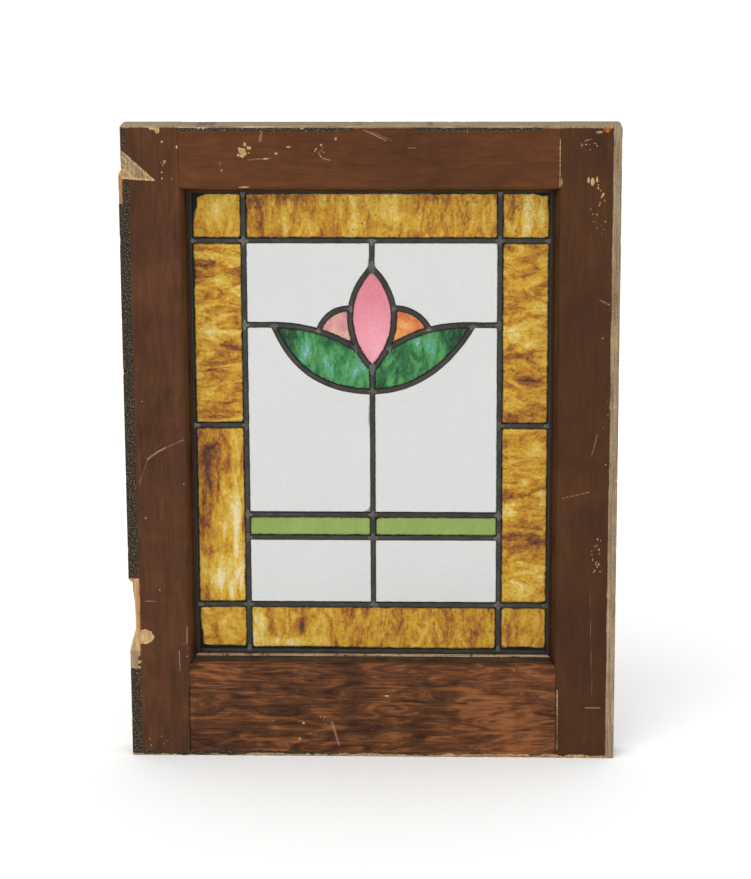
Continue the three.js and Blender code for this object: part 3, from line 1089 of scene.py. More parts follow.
    def flake_sides(self, x: Array, z: Array) -> list[Array]:
        """How far inside the flake's upper, lower and outer side a point lies.

        Args:
            x: Places across, in mm.
            z: Heights.

        Returns:
            The three distances.
        """
        insides = []
        for (xa, za), (xb, zb) in zip(self.flake, self.flake[1:] + self.flake[:1]):
            length = math.dist((xa, za), (xb, zb))
            insides.append(((z - za) * (xb - xa) - (x - xa) * (zb - za)) / -length)
        return insides

    def damage(self, x: Array, y: Array, z: Array) -> tuple[Array, Array]:
        """The left stile's broken edge, split top, lifted flake and gouge.

        Args:
            x: Places across, in mm.
            y: Depths.
            z: Heights.

        Returns:
            The new places across, and depths.
        """
        depth_in = y - self.front
        thickness = self.back - self.front
        splinter = 0.25 * self.edge_noise.at(z / 2.2, y / 7 + 3, 2)
        broken = self.break_reach(z)
        slant = (self.break_depth - self.break_back) / thickness
        cut = broken - depth_in * slant + splinter * (broken > 0.5)
        split = self.split_depth * rise(z, self.split_low - 1, self.split_low + 2)
        cut = np.maximum(cut, split * (1 - 0.6 * depth_in / thickness) + splinter * (split > 1))
        x = np.maximum(x, -self.half_width + np.maximum(cut, 0))
        ragged = self.edge_noise.at(x / 3 + 9, z / 3, 2) * 0.8
        lifted = np.min(self.flake_sides(x, z), axis=0) + ragged
        steps = 0.35 * self.grain_noise.at(z / 30, x / 1.5, 2)
        tip = self.flake[1][0]
        flake = self.flake_depth * (tip - x) / (tip + self.half_width) + steps
        y = np.maximum(y, self.front + np.maximum(flake, 0.1) * rise(lifted, 0, 0.8))
        wide, deep, high = self.gouge_size
        radii = np.hypot((x - self.gouge[0]) / wide, (z - self.gouge[1]) / high) + ragged * 0.3
        bowl = deep * np.sqrt(np.clip(1 - radii**2, 0, 1)) * (1 + 0.3 * ragged)
        return x, np.maximum(y, self.front + bowl)

    def cracks(self, x: Array, z: Array) -> Array:
        """Weather cracks along the top of the bottom rail, opened where a streaky noise peaks.

        Args:
            x: Places across, in mm.
            z: Heights.

        Returns:
            The cracks' depths.
        """
        streak = self.grain_noise.at(x / 60 + 5, z / 1.1, 2)
        near = rise(z, self.sight_bottom - 26, self.sight_bottom - 8)
        return 0.45 * near * rise(streak, 0.35, 0.75)

    # Wear kept at the vertices

    def marks(self, board: Board) -> list[Blot | Scratch]:
        """Chips and scratches on one board's face.

        Args:
            board: Which board.

        Returns:
            The marks in the order they are laid.
        """
        if board is Board.LEFT:
            return [
                Blot((-187.8, 585.9), 1.1, 1.2), Blot((-174.3, 581), 0.9, 1.6),
                Blot((-191.8, 596.2), 2.2, 3.0), Blot((-196.5, 598), 3.0, 1.3),
                Blot((-211.4, 344.8), 0.8, 0.8), Blot((-210.7, 233.5), 0.7, 1.0),
                Blot((-174.2, 266.4), 0.7, 1.2), Blot((-199.2, 163.4), 0.7, 1.2),
                Blot((-183.3, 501), 0.7, 0.8), Blot((-188.5, 552.5), 0.6, 0.9),
                Blot((-179.5, 552.3), 0.8, 0.6), *Spatter((-187, 566), 3.5, 9, 9, 31, (0.3, 0.8)).marks(),
                Scratch((-215.8, 318), (-215.8, 268), 0.4, 0.55),
                Scratch((-213.1, 152.8), (-202.7, 152.2), 0.5, 0.75),
                *chain([(-173.2, 308.8), (-182, 305), (-191, 300.8)], 0.5, 0.75),
                *chain([(-191, 300.8), (-199, 296.5), (-207.7, 289.9)], 0.75, 0.95),
                *chain([(-207.7, 289.9), (-212.2, 276.2), (-215.8, 265.3)], 0.5, 0.6),
                *chain([(-193, 303), (-199, 302), (-206, 293), (-213, 291)], 0.4, 0.5),
                Scratch((-174, 128), (-174.3, 112), 0.45, 1.0),
                Scratch((-181.8, 104), (-181.4, 84), 0.45, 1.0), Blot((-174.6, 99), 0.7, 1.3),
                Scratch((-182, 111.5), (-174.5, 111), 0.5, 0.5),
                *Spatter((-196, 14), 18, 10, 12, 32, (0.3, 0.6)).marks(),
            ]
        if board is Board.TOP:
            return [
                *Spatter((-113.2, 577), 7, 6.5, 20, 3, (0.7, 1.9)).marks(),
                *Spatter((-46, 578), 6, 6, 10, 4, (0.4, 0.9)).marks(),
                Scratch((-109.7, 569.4), (-90, 571), 0.5), Blot((-94, 570.3), 2.6, 0.8),
                Blot((-84.3, 575), 1.6, 1.1), Blot((-73, 581), 2.4, 0.9), Blot((-133.9, 559.6), 0.9, 1.1),
                Scratch((-135.5, 568), (-135.5, 564), 0.5),
                *chain([(-46, 576), (-42.5, 571), (-36, 569.2)], 0.6), Blot((-113.7, 544.6), 4.6, 0.8),
                Scratch((-98.6, 586.4), (-96.7, 599), 1.3, 0.7),
                Scratch((-4.5, 596.4), (16, 586.6), 0.5, 0.9), Scratch((1.5, 595), (20.5, 587), 0.4, 0.7),
                Scratch((35.2, 580.1), (42.4, 580.1), 0.45, 0.8),
                Scratch((88.4, 599), (88.4, 594.5), 0.45, 1.0), Blot((-30, 588.5), 1.2, 1.6, 0.4),
                Blot((-60.5, 598), 2.6, 1.2), *Spatter((-150, 599), 10, 2.2, 12, 33, (0.6, 1.6)).marks(),
                Scratch((172.6, 588), (172.6, 542), 0.55, 0.0, 0.5),
                Scratch((-170, 541.8), (30, 541.2), 0.35, 0.45),
            ]
        if board is Board.RIGHT:
            return [
                Blot((173.9, 549), 0.8, 4.0), Blot((214.6, 597.4), 3.2, 3.4, 2.0),
                Blot((207.4, 594.4), 3.2, 1.2, 0.3), Blot((198, 551), 1.2, 3.0),
                Blot((202, 549.5), 1.7, 3.8), Blot((206, 551.5), 1.0, 3.0),
                *Spatter((196, 583), 11, 5, 14, 5, (0.35, 0.8)).marks(),
                *Spatter((211, 537), 7, 12, 12, 6, (0.4, 1.1)).marks(),
                *Spatter((205, 513), 14, 12, 12, 7, (0.35, 0.9)).marks(),
                Scratch((194, 586.5), (200, 588), 0.5), Scratch((210, 440.9), (219.2, 436.3), 0.5, 1.0),
                Scratch((209.3, 315.5), (204.5, 295.5), 0.4, 0.8),
                Scratch((177.5, 254), (203.1, 260.2), 0.42, 0.85),
                *Spatter((210, 190), 9, 26, 30, 8, (0.35, 0.9)).marks(),
                Scratch((201, 50), (215.2, 50), 0.42, 0.9), Scratch((204.3, 166), (207.5, 58), 0.38, 0.6),
                *Spatter((214, 330), 5, 110, 16, 9, (0.3, 0.7)).marks(),
                Scratch((174.6, 67), (174.9, 8), 0.5, 0.0, 0.6),
            ]
        return [
            Blot((-65, 33.1), 1.5, 1.2), Blot((-69, 17.5), 1.3, 1.6), Blot((14.2, 60.5), 2.2, 0.8),
            Blot((133.9, 87), 0.9, 0.7), Scratch((-38.1, 34.3), (-31.6, 11.4), 1.1, 0.75),
            *Spatter((-60, 40), 100, 26, 26, 10, (0.3, 0.7)).marks(),
            Scratch((-98, 100), (-60, 99), 0.5, 0.8), Scratch((-40, 98.4), (20, 98.6), 0.4, 0.6),
        ]

    def wear(self, board: Board, x: Array, y: Array, z: Array) -> dict[str, Array]:
        """Wear and age at each vertex.

        Args:
            board: Which board.
            x: Places across, in mm.
            y: Depths.
            z: Heights.

        Returns:
            The vectors "wear" (bare, tar, grime and painted shade) and "age" (weather, warmth, scuff).
        """
        wobble = self.edge_noise.at(x / 9, z / 9, 3)
        fine = self.edge_noise.at(x / 2.5 + 40, z / 2.5, 2)
        on_face = y < self.front + self.worn_depth
        found = WearMap(x.shape)
        self.margins(found, x, z, on_face, wobble, fine)
        self.scar(found, self.marks(board), x, z, on_face)
        if board is Board.LEFT:
            self.bare_damage(found, x, y, z, fine)
        found.tar = np.where(found.bare > 0.3, np.minimum(found.tar, -found.bare), found.tar)
        weather = np.zeros(x.shape)
        if board is Board.BOTTOM:
            sill = rise(y, self.front + 4, self.front + 9)
            weather = 1.3 * sill + 0.15 * rise(wobble, 0, 0.8)
            at_fillet = np.abs(y - self.front - self.fillet[1]) < 1.2
            found.strip(np.where(at_fillet, 0.35 + 0.6 * fine, FAR), 0.3)
        bare, tar = (np.clip(inside, FAR, -FAR) for inside in (found.bare, found.tar))
        grime_and_shade = self.grime_and_shade(board, x, y, z, wobble)
        return {
            "wear": np.stack([bare, tar, grime_and_shade], -1),
            "age": np.stack([weather, found.warmth, found.scuff], -1),
        }

    def margins(self, found: WearMap, x: Array, z: Array, on_face: Array, wobble: Array,
                fine: Array) -> None:
        """Unpainted margins, bare outer edges, and the bands of tar left beside them.

        Args:
            found: The wear to add to.
            x: Places across, in mm.
            z: Heights.
            on_face: Which vertices are on the room side.
            wobble: A broad noise, which the margins follow.
            fine: A finer one, which chips them.
        """
        over = z - (self.height - self.stripped_top)
        found.strip(np.where(on_face, over + 0.4 * wobble, FAR), 0.2 + 0.5 * wobble)
        foot = 1.6 + 1.4 * rise(x, -150, -90) + 2.4 * wobble
        found.strip(np.where(on_face, foot - z, FAR), 0.45 + 0.5 * fine)
        right = x - (self.half_width - self.stripped_right) + 0.8 * wobble
        found.strip(np.where(on_face, right, FAR), 0.15 + 0.35 * wobble)
        outer = np.maximum(np.abs(x) - self.half_width, np.maximum(z - self.height, -z)) > -0.9
        found.strip(np.where(outer & ~on_face, 0.7 + 1.6 * wobble, FAR), 0.05)

        # Tar along the top, which stops short of the middle and of the right end
        gap = rise(np.abs(x - 14), 24, 30) * rise(164 - x, 0, 12)
        along_top = (z - (self.height - self.tarred_top) + 0.5 * wobble) * gap - 4 * (1 - gap)
        tar = np.where(on_face & (over < 0.8), np.maximum(found.tar, along_top), found.tar)
        chipped = np.minimum(found.bare, over - 0.9 + 1.2 * fine)
        found.bare = np.where(on_face & (tar > 0) & (over > -1.5), chipped, found.bare)

        # Tar down the left edge and along the foot, and flaked off the right edge
        left = -(self.half_width - self.tarred_left) - x + 0.5 * wobble
        tar = np.where(on_face, np.maximum(tar, np.minimum(left, 3)), tar)
        low = 5.2 - z + 1.6 * wobble - 2.5 * rise(x, -100, 40)
        tar = np.where(on_face, np.maximum(tar, low), tar)
        found.tar = np.where(on_face & (right > 0), tar - 6 * rise(fine, -0.6, 0.3), tar)

    def scar(self, found: WearMap, marks: list[Blot | Scratch], x: Array, z: Array,
             on_face: Array) -> None:
        """Lays the marks in order: bare wood under chips, a pale scuff along scratches.

        Args:
            found: The wear to add to.
            marks: The board's marks.
            x: Places across, in mm.
            z: Heights.
            on_face: Which vertices are on the room side.
        """
        for mark in marks:
            inside = np.where(on_face, mark.depth(x, z), FAR)
            if isinstance(mark, Scratch) and mark.strength > 0:
                share = np.clip(0.5 + inside / (2 * mark.half_width), 0, 1)
                pale = mark.strength * np.where(inside > FAR, share, 0)
                found.scuff = np.maximum(found.scuff, pale)
            else:
                found.strip(inside, mark.warmth)

    def grime_and_shade(self, board: Board, x: Array, y: Array, z: Array, wobble: Array) -> Array:
        """Dirt and painted shade on one board, from 0 to 1; below 0, rubbed stain and painted highlight.

        Args:
            board: Which board.
            x: Places across, in mm.
            y: Depths.
            z: Heights.
            wobble: A broad noise that it follows.

        Returns:
            The dirt at each vertex.
        """
        deep = (y - self.front) / self.fillet[1]
        sticking = (deep > 0.03) & (y < self.front + self.lip + 1)
        dirt = 0.25 * rise(wobble, 0.1, 0.9)
        if board is Board.RIGHT:
            # Painted shade: the right stile's moulding is darkened all over, most in its deep part
            moulding = 0.42 + 0.25 * rise(deep, 0.6, 1.0)
            corner = 0.45 * rise(x, 186, 205) * rise(z, 535, 580)
            dirt = np.maximum(dirt, corner * (0.6 + 0.6 * wobble))
            dirt = dirt - 0.5 * rise(x, 214, 217) * rise(220 - x, 0, 1)
        elif board is Board.BOTTOM:
            # Painted highlight on the shallow part of the moulding, painted shade in its deep part
            moulding = np.where(deep < 0.3, -0.35, 0.35 + 0.3 * wobble)
            dirt = dirt - 0.3 * rise(wobble, 0.0, 0.8)
        else:
            # Painted highlight on the shallow ogee, painted shade deeper in the moulding
            moulding = -0.3 + 0.95 * rise(deep, 0.35, 0.8) + 0.25 * wobble
        if board is Board.LEFT:
            beside_tar = rise(x, -218.6, -217.6) * rise(-210.5 - x, 0, 2.5) * rise(560 - z, 0, 8)
            worn_joint = rise(x, -183, -180) * rise(-173.6 - x, 0, 0.8) * rise(104 - z, 0, 12)
            dirt = dirt - 0.45 * beside_tar * (0.7 + 0.6 * wobble)
            dirt = dirt - 0.75 * worn_joint * (0.7 + 0.8 * wobble)
        # On the moulding, its painted shade and highlight stand in the place of dirt
        dirt = np.where(sticking, moulding, dirt)
        joint = np.abs(np.abs(x) - (self.sight_half + self.moulding))
        foot_joint = (z < self.sight_bottom - self.moulding) & (x < 0)
        line = rise(1.0 - joint, 0, 0.9) * (y < self.front + 2)
        return np.maximum(dirt, np.where(foot_joint, 0.95, 0.12) * line * (np.abs(z - 300) > 230))

    def bare_damage(self, found: WearMap, x: Array, y: Array, z: Array, fine: Array) -> None:
        """Bares the wood of the left stile's old damage, and keeps the tar beside it.

        Args:
            found: The wear to add to.
            x: Places across, in mm.
            y: Depths.
            z: Heights.
            fine: The fine noise that roughens its outlines.
        """
        streak = self.grain_noise.at(z / 18, x / 1.2, 2)
        slanted = self.grain_noise.at((x - z) / 22, (x + z) / 2.2, 3)
        near_face = y < self.front + self.torn_depth

        # The lifted flake: pale along its sides, streaked and partly orange between them
        upper, lower, outer = self.flake_sides(x, z)
        inside = np.minimum(np.minimum(upper, lower), outer)
        orange = (outer > 3.5) & (outer < 10) & (upper > 3) & (lower > 8)
        warm = 0.25 + 0.9 * slanted + 1.3 * (orange & (slanted > -0.2))
        sides = np.maximum(rise(1.8 - lower, 0, 1), rise(1.5 - upper, 0, 0.8))
        pale = np.maximum(sides, rise(5 - outer, 0, 3))
        warm = np.clip(np.where(pale > 0.5, 0.9, warm), 0, 2)
        found.strip(np.where(near_face, inside + 0.8, FAR), warm)

        # The gouge, and the broken edge beside it
        bowl = Blot(self.gouge, self.gouge_size[0], self.gouge_size[2]).depth(x, z) + 1.3 * fine
        found.strip(np.where(near_face, bowl + 0.4, FAR), 0.8 + 0.15 * fine)
        span = np.minimum(z - self.break_low + 2, self.break_high + 2 - z)
        torn = np.minimum(self.torn_edge - x + 0.5 * fine, span)
        reached = near_face | (x < -self.half_width + self.break_reach(z) + 0.8)
        warm = np.where((x > self.torn_edge - 1.1) & near_face, 1.7, 0.85 + 0.2 * streak)
        found.strip(np.where(reached, torn + 0.3, FAR), warm)

        # The sliver under the split top, the split, and the weathered bark under the break
        sliver = np.minimum(self.split_low + 1 - z, z - self.sliver_low)
        sliver = np.minimum(self.sliver_edge - x + 0.3 * fine, sliver) + 0.4
        found.strip(sliver, 1.5 + 0.3 * streak)
        split = (z > self.split_low) & (x < -self.half_width + 3.2)
        found.strip(np.where(split, 1.5, FAR), 0.9)
        bark = np.minimum(self.bark[1] - z, z - self.bark[0])
        bark = np.minimum(self.bark_edge - x, bark) + 2.6 * fine - 0.6
        found.strip(np.where(near_face, bark, FAR), 0.35 + 0.5 * streak)

        tar = found.tar - 1.2 * rise(fine, 0.45, 0.8)
        tar = np.where((span > 0) & near_face, FAR, tar)
        thinned = np.minimum(tar, self.bark_edge - x - 3 * rise(z, 560, 575))
        found.tar = np.where(z > self.split_low, thinned, tar)

    def build(self) -> None:
        """Makes the four boards."""
        stains = {
            Board.LEFT: (Grain.UPRIGHT, "38200F", "4C2E1B", "623B20", 0.3),
            Board.RIGHT: (Grain.UPRIGHT, "341D10", "452915", "573419", 0.2),
            Board.TOP: (Grain.LEVEL, "3E2210", "543018", "683D20", 0.25),
            Board.BOTTOM: (Grain.LEVEL, "341C10", "58341D", "8A542E", 0.75),
        }
        finishes = {
            board: StainedWood(f"stained_wood_{board.value}", *stain).make()
            for board, stain in stains.items()
        }
        for board, finish in finishes.items():
            part = Part(f"{board.value}_wood")
            shape = self.stile if board in (Board.LEFT, Board.RIGHT) else self.rail
            shape(board, part)
            part.finish(finish, "sash_wood", board.value)


# ------ pattern


@dataclass(frozen=True)
class Hand:
    """One side of the flower: distances out from its axis, and heights, in millimetres."""

    name: str
    side: int
    shoulder: float
    tip: float
    cup_foot: float
    cup_belly: Point
    sepal_foot: float
    sepal_crown: Point
    sepal_head: float


HANDS = (
    Hand("left", -1, 91.0, 91.5, 58.0, (80.0, 384.0), 49.5, (41.6, 420.5), 428.0),
    Hand("right", 1, 86.0, 93.5, 46.0, (78.0, 384.0), 53.0, (45.5, 418.8), 428.4),
)


@dataclass
class Pattern:
    """The flower's lines, in millimetres, as arrays of (x, z)."""

    petal_top: float = 466.0
    petal_widest: float = 420.0
    petal_bottom: float = 371.5
    petal_reach_most: float = 20.3
    shoulder_height: float = 412.6
    leaf_join: Point = (15.5, 391.0)
    cup_bottom: float = 349.7

    def __post_init__(self) -> None:
        """Takes the straight lines' places from the frame."""
        self.axis = self.middle("lower_stem_came")[0]
        self.border_top = self.middle("border_came_top")[1]
        self.border_bottom = self.middle("border_came_bottom")[1]
        self.tie_height = self.middle("border_tie_middle_left")[1]
        self.bar_top = self.middle("bar_came_top_left")[1]
        self.bar_bottom = self.middle("bar_came_bottom_left")[1]
        self.border = {hand.side: self.middle(f"border_came_{hand.name}")[0] for hand in HANDS}
        self.edge = {hand.side: self.middle(f"edge_came_{hand.name}")[0] for hand in HANDS}
        self.edge_top = self.middle("edge_came_top")[1]
        self.edge_bottom = self.middle("edge_came_bottom")[1]

    @staticmethod
    def middle(node: str) -> Point:
        """The middle of a node's box, as (x, z)."""
        low, high = box_mm(node)
        return ((low[0] + high[0]) / 2, (low[2] + high[2]) / 2)

    def out(self, hand: Hand, reach: Array, z: Array) -> Array:
        """Points at a reach from the axis on one side."""
        reach, z = np.broadcast_arrays(np.asarray(reach, float), np.asarray(z, float))
        return np.stack([self.axis + hand.side * reach, z], -1)

    def petal_reach(self, z: Array) -> Array:
        """Half width of the centre petal.

        Above its widest height it is one circular arc and below another, each
        of radius (rise^2 + reach^2) / (2 reach), upright at the widest point.

        Args:
            z: Heights.

        Returns:
            The half widths.
        """
        z = np.asarray(z, float)
        most = self.petal_reach_most
        up, down = self.petal_top - self.petal_widest, self.petal_widest - self.petal_bottom
        rise_to = np.where(z > self.petal_widest, up, down)
        radius = (rise_to**2 + most**2) / (2 * most)
        return most - radius + np.sqrt(radius**2 - (z - self.petal_widest) ** 2)

    def petal_edge(self, hand: Hand, start: float, end: float) -> Array:
        """One edge of the centre petal between two heights."""
        z = np.linspace(start, end, 40)
        return self.out(hand, self.petal_reach(z), z)

    def leaf_height(self, hand: Hand, reach: Array) -> Array:
        """Height of a leaf's upper line: level outside its shoulder, then a falling arc.

        Args:
            hand: Which side.
            reach: Distances out from the axis.

        Returns:
            The heights.
        """
        run = hand.shoulder - self.leaf_join[0]
        fall = self.shoulder_height - self.leaf_join[1]
        radius = (run**2 + fall**2) / (2 * fall)
        inward = np.maximum(0, hand.shoulder - np.asarray(reach, float))
        return self.shoulder_height - radius + np.sqrt(radius**2 - inward**2)

    def leaf_line(self, hand: Hand, start: float, end: float) -> Array:
        """A leaf's upper line between two reaches."""
        reach = np.linspace(start, end, 40)
        return self.out(hand, reach, self.leaf_height(hand, reach))

    def cup_line(self, hand: Hand) -> Array:
        """A leaf's lower line, a cubic Bezier from the flower's foot out to the tip.

        Args:
            hand: Which side.

        Returns:
            Its points as rows.
        """
        knots = [
            (0, self.cup_bottom), (hand.cup_foot, self.cup_bottom),
            hand.cup_belly, (hand.tip, self.shoulder_height),
        ]
        t = np.linspace(0, 1, 60)
        weights = ((1 - t) ** 3, 3 * t * (1 - t) ** 2, 3 * t**2 * (1 - t), t**3)
        reach, z = (sum(w * knot[i] for w, knot in zip(weights, knots)) for i in (0, 1))
        return self.out(hand, reach, z)

    def sepal_line(self, hand: Hand) -> Array:
        """The small petal: the circle's arc through its foot, crown and head.

        Args:
            hand: Which side.

        Returns:
            Its points as rows.
        """
        foot = complex(hand.sepal_foot, float(self.leaf_height(hand, hand.sepal_foot)))
        crown = complex(*hand.sepal_crown)
        head = complex(float(self.petal_reach(hand.sepal_head)), hand.sepal_head)
        w = (head - foot) / (crown - foot)
        centre = (crown - foot) * (w - abs(w) ** 2) / (2j * w.imag) + foot
        start, end = np.angle(foot - centre), np.angle(head - centre)
        arc = centre + abs(foot - centre) * np.exp(1j * np.linspace(start, end, 40))
        return self.out(hand, arc.real, arc.imag)

    def lines(self) -> dict[str, Array]:
        """Every came's centre line by its node's name.

        Returns:
            The lines, with their points as rows.
        """
        lines: dict[str, Array] = {}
        straight = ["edge_came_top", "edge_came_bottom", "border_came_top", "border_came_bottom",
                    "upper_stem_came", "leaf_divider_came", "lower_stem_came"]
        for hand in HANDS:
            straight += [f"edge_came_{hand.name}", f"border_came_{hand.name}"]
            straight += [f"border_tie_{row}_{hand.name}" for row in ("top", "middle", "bottom")]
            straight += [f"bar_came_{row}_{hand.name}" for row in ("top", "bottom")]
            petal = self.petal_edge(hand, self.petal_top, self.petal_bottom)
            lines[f"petal_came_{hand.name}"] = petal
            border = self.out(hand, abs(self.border[hand.side] - self.axis), self.shoulder_height)
            leaf = self.leaf_line(hand, hand.tip, self.leaf_join[0])
            lines[f"leaf_came_{hand.name}"] = np.vstack([border, leaf])
            lines[f"sepal_came_{hand.name}"] = self.sepal_line(hand)
        left, right = (self.cup_line(hand) for hand in HANDS)
        lines["leaf_cup_came"] = np.vstack([left[::-1], right[1:]])
        for node in straight:
            low, high = box_mm(node)
            x, z = self.middle(node)
            level = high[0] - low[0] > high[2] - low[2]
            ends = [(low[0], z), (high[0], z)] if level else [(x, low[2]), (x, high[2])]
            lines[node] = np.array(ends)
        return lines


# ------ leadwork


@dataclass(frozen=True)
class Joint:
    """A soldered crossing: its place, the directions of its arms in degrees, and its size."""

    at: Point
    arms: tuple[float, ...]
    size: float = 1.0


@dataclass
class Leadwork:
    """Lead cames of H section and the solder over their joints. Millimetres."""

    pattern: Pattern
    face: float = 4.8
    edge_face: float = 8.0
    leaf: float = 0.8
    heart: float = 1.2
    crown: float = 0.42
    spacing: float = 2.4
    solder_height: float = 0.55
    solder_reach: float = 2.6
    solder_arm: float = 0.45
    solder_root: float = -0.35
    solder_sides: int = 28
    edge_inset: float = 3.2

    def __post_init__(self) -> None:
        """Takes the cames' depth from the frame."""
        low, high = box_mm("lower_stem_came")
        self.front, self.back = low[1], high[1]
        self.waver = Noise(21)
        self.lumps = Noise(22)

    def section(self, face: float) -> tuple[Array, Array]:
        """The H section as (offset, Y), and how near each point is to its flank.

        Each outer face is domed: it falls by the crown times |offset|^2.4,
        with the offset as a share of half the face.

        Args:
            face: The width of its face.

        Returns:
            The points, and for each a number from 0 to 1.
        """
        share = np.array([-1, -0.93, -0.75, -0.4, 0, 0.4, 0.75, 0.93, 1])
        fall = self.crown * np.abs(share) ** 2.4
        half, web = face / 2, self.heart / 2
        front, back = self.front + self.leaf, self.back - self.leaf
        points = np.concatenate([
            np.column_stack([share * half, self.front + fall]),
            [(half, front), (web, front), (web, back), (half, back)],
            np.column_stack([share[::-1] * half, self.back - fall]),
            [(-half, back), (-web, back), (-web, front), (-half, front)],
        ])
        flank = np.concatenate([np.abs(share), np.ones(4), np.abs(share), np.ones(4)])
        return points, flank

    def came(self, name: str, line: Array, finish: Material) -> None:
        """One came: its section carried along its line, with a slight waver.

        Its ends thin a little, to tuck under the leads that they meet.

        Args:
            name: Its node.
            line: Its centre line.
            finish: Its lead.
        """
        face = self.edge_face if name.startswith("edge_came") else self.face
        points = along(line, self.spacing)
        run = np.gradient(points, axis=0)
        run /= np.hypot(*run.T)[:, None]
        normal = np.column_stack([-run[:, 1], run[:, 0]])
        travel = np.r_[0, np.cumsum(np.hypot(*np.diff(points, axis=0).T))]
        seat = own_number(name) * 0.37
        sway = 0.16 * self.waver.at(travel / 14, seat, 2)
        swell = 1 + 0.05 * self.waver.at(travel / 9, seat + 5, 2)
        to_end = np.minimum(travel, travel[-1] - travel)
        thin = 1 - 0.13 * rise(3.0 - to_end, 0, 3)
        thin = thin - 0.03 * (1 + self.waver.at(travel / 11, seat + 9))
        section, flank = self.section(face)
        middle = (self.front + self.back) / 2
        offset = section[None, :, 0] * swell[:, None] + sway[:, None]
        dent = 0.08 * self.lumps.at(travel[:, None] / 3.5, section[None, :, 0] / 2 + seat, 2)
        rings = np.stack([
            points[:, None, 0] + normal[:, None, 0] * offset,
            middle + (section[None, :, 1] - middle) * thin[:, None] * (1 - 0.04 * np.abs(dent)),
            points[:, None, 1] + normal[:, None, 1] * offset,
        ], -1)
        part = Part(f"{name}_lead")
        part.add(rings, flank=np.broadcast_to(flank, offset.shape).copy())
        part.finish(finish, "lead", name)

    def joints(self) -> list[Joint]:
        """Every soldered crossing of the panel.

        Returns:
            The joints in order.
        """
        p = self.pattern
        found = [
            Joint((p.axis, p.border_top), (0, 180, 270)),
            Joint((p.axis, p.border_bottom), (0, 180, 90)),
            Joint((p.axis, p.petal_top + 1.5), (90, 250, 290), 1.25),
            Joint((p.axis, p.petal_bottom - 1), (270, 70, 110), 1.1),
            Joint((p.axis, p.cup_bottom), (0, 180, 90, 270), 0.9),
            Joint((p.axis, p.bar_top), (0, 180, 90, 270)),
            Joint((p.axis, p.bar_bottom), (0, 180, 90, 270)),
        ]
        for hand in HANDS:
            inward = 180 if hand.side > 0 else 0
            outward = 180 - inward
            x, edge = p.border[hand.side], p.edge[hand.side] - hand.side * self.edge_inset
            found += [Joint((x, z), (0, 90, 180, 270)) for z in (p.border_top, p.border_bottom)]
            found.append(Joint((x, p.tie_height), (outward, 90, 270)))
            crossings = (p.shoulder_height, p.bar_top, p.bar_bottom)
            found += [Joint((x, z), (inward, 90, 270)) for z in crossings]
            ties = (p.border_top, p.tie_height, p.border_bottom)
            found += [Joint((edge, z), (inward,)) for z in ties]
            found.append(Joint((x, p.edge_top - self.edge_inset), (270,)))
            found.append(Joint((x, p.edge_bottom + self.edge_inset), (90,)))
            foot, *_, head = p.sepal_line(hand)
            join = p.out(hand, *p.leaf_join)
            tip = p.out(hand, hand.tip - 0.5, p.shoulder_height - 0.8)
            found.append(Joint(tuple(foot), (90, outward + 10 * hand.side, inward), 0.7))
            found.append(Joint(tuple(head), (outward, 80, 280), 0.7))
            found.append(Joint(tuple(join), (outward + 20 * hand.side, 80, 290), 0.8))
            found.append(Joint(tuple(tip), (outward, inward, 270 - 25 * hand.side), 0.9))
        return found

    def solder(self, joint: Joint, number: int, facing: int, part: Part) -> None:
        """One lump of solder over a joint.

        Its outline's radius is a little over half a came, and longer along
        each arm by exp(-(angle / breadth)^2). Its height falls from the middle
        as (1 - t^2)^0.7, with t the distance out as a share of the radius.

        Args:
            joint: The joint.
            number: Its number, which picks its lumps.
            facing: -1 on the front, 1 on the back.
            part: The piece that takes the skin.
        """
        angle = np.linspace(0, 2 * np.pi, self.solder_sides, endpoint=False)
        radius = np.full(angle.shape, self.face / 2 * 1.02)
        for arm in joint.arms:
            off = np.angle(np.exp(1j * (angle - math.radians(arm))))
            radius = radius + self.solder_reach * np.exp(-((off / self.solder_arm) ** 2))
        uneven = 1 + 0.13 * self.lumps.at(angle * 1.3 + number * 3.1, facing * 7.7, 2)
        radius *= joint.size * uneven
        out = np.array([0.02, 0.22, 0.45, 0.65, 0.82, 0.94, 1.0, 0.8, 0.02])[:, None]
        lump = np.sqrt(joint.size) * self.solder_height
        face = self.front if facing < 0 else self.back
        swell = 1 + 0.25 * self.lumps.at(number * 5.3 + out * 2, angle[None] * 0.8)
        outside = np.arange(len(out))[:, None] <= out.argmax()
        height = np.where(outside, lump * (1 - out**2) ** 0.7 * swell, self.solder_root)
        rings = np.stack([
            joint.at[0] + radius * out * np.cos(angle),
            face + facing * (height - 0.22),
            joint.at[1] + radius * out * np.sin(angle),
        ], -1)
        part.add(rings, flank=np.broadcast_to(out**3 * 0.75, height.shape).copy())

    def build(self) -> None:
        """Makes every came, and the solder of each face as one piece."""
        lead = OldLead("old_lead").make()
        for name, line in self.pattern.lines().items():
            self.came(name, line, lead)
        solder = OldLead("old_solder", "2A2926", "5A5954", "8B8982").make()
        for word, facing in (("front", -1), ("back", 1)):
            part = Part(f"solder_joints_{word}", 60.0)
            for number, joint in enumerate(self.joints()):
                self.solder(joint, number + 40 * (facing > 0), facing, part)
            part.finish(solder, "lead")


# ------ glazing


@dataclass(frozen=True)
class Tone:
    """A lighter or darker area of a sheet: exp(-(distance in radii)^2) times its lift."""

    at: Point
    reach: float
    height: float
    lift: float

    def over(self, x: Array, z: Array) -> Array:
        """The area's share at each point."""
        across, up = (x - self.at[0]) / self.reach, (z - self.at[1]) / self.height
        return self.lift * np.exp(-(across**2) - up**2)


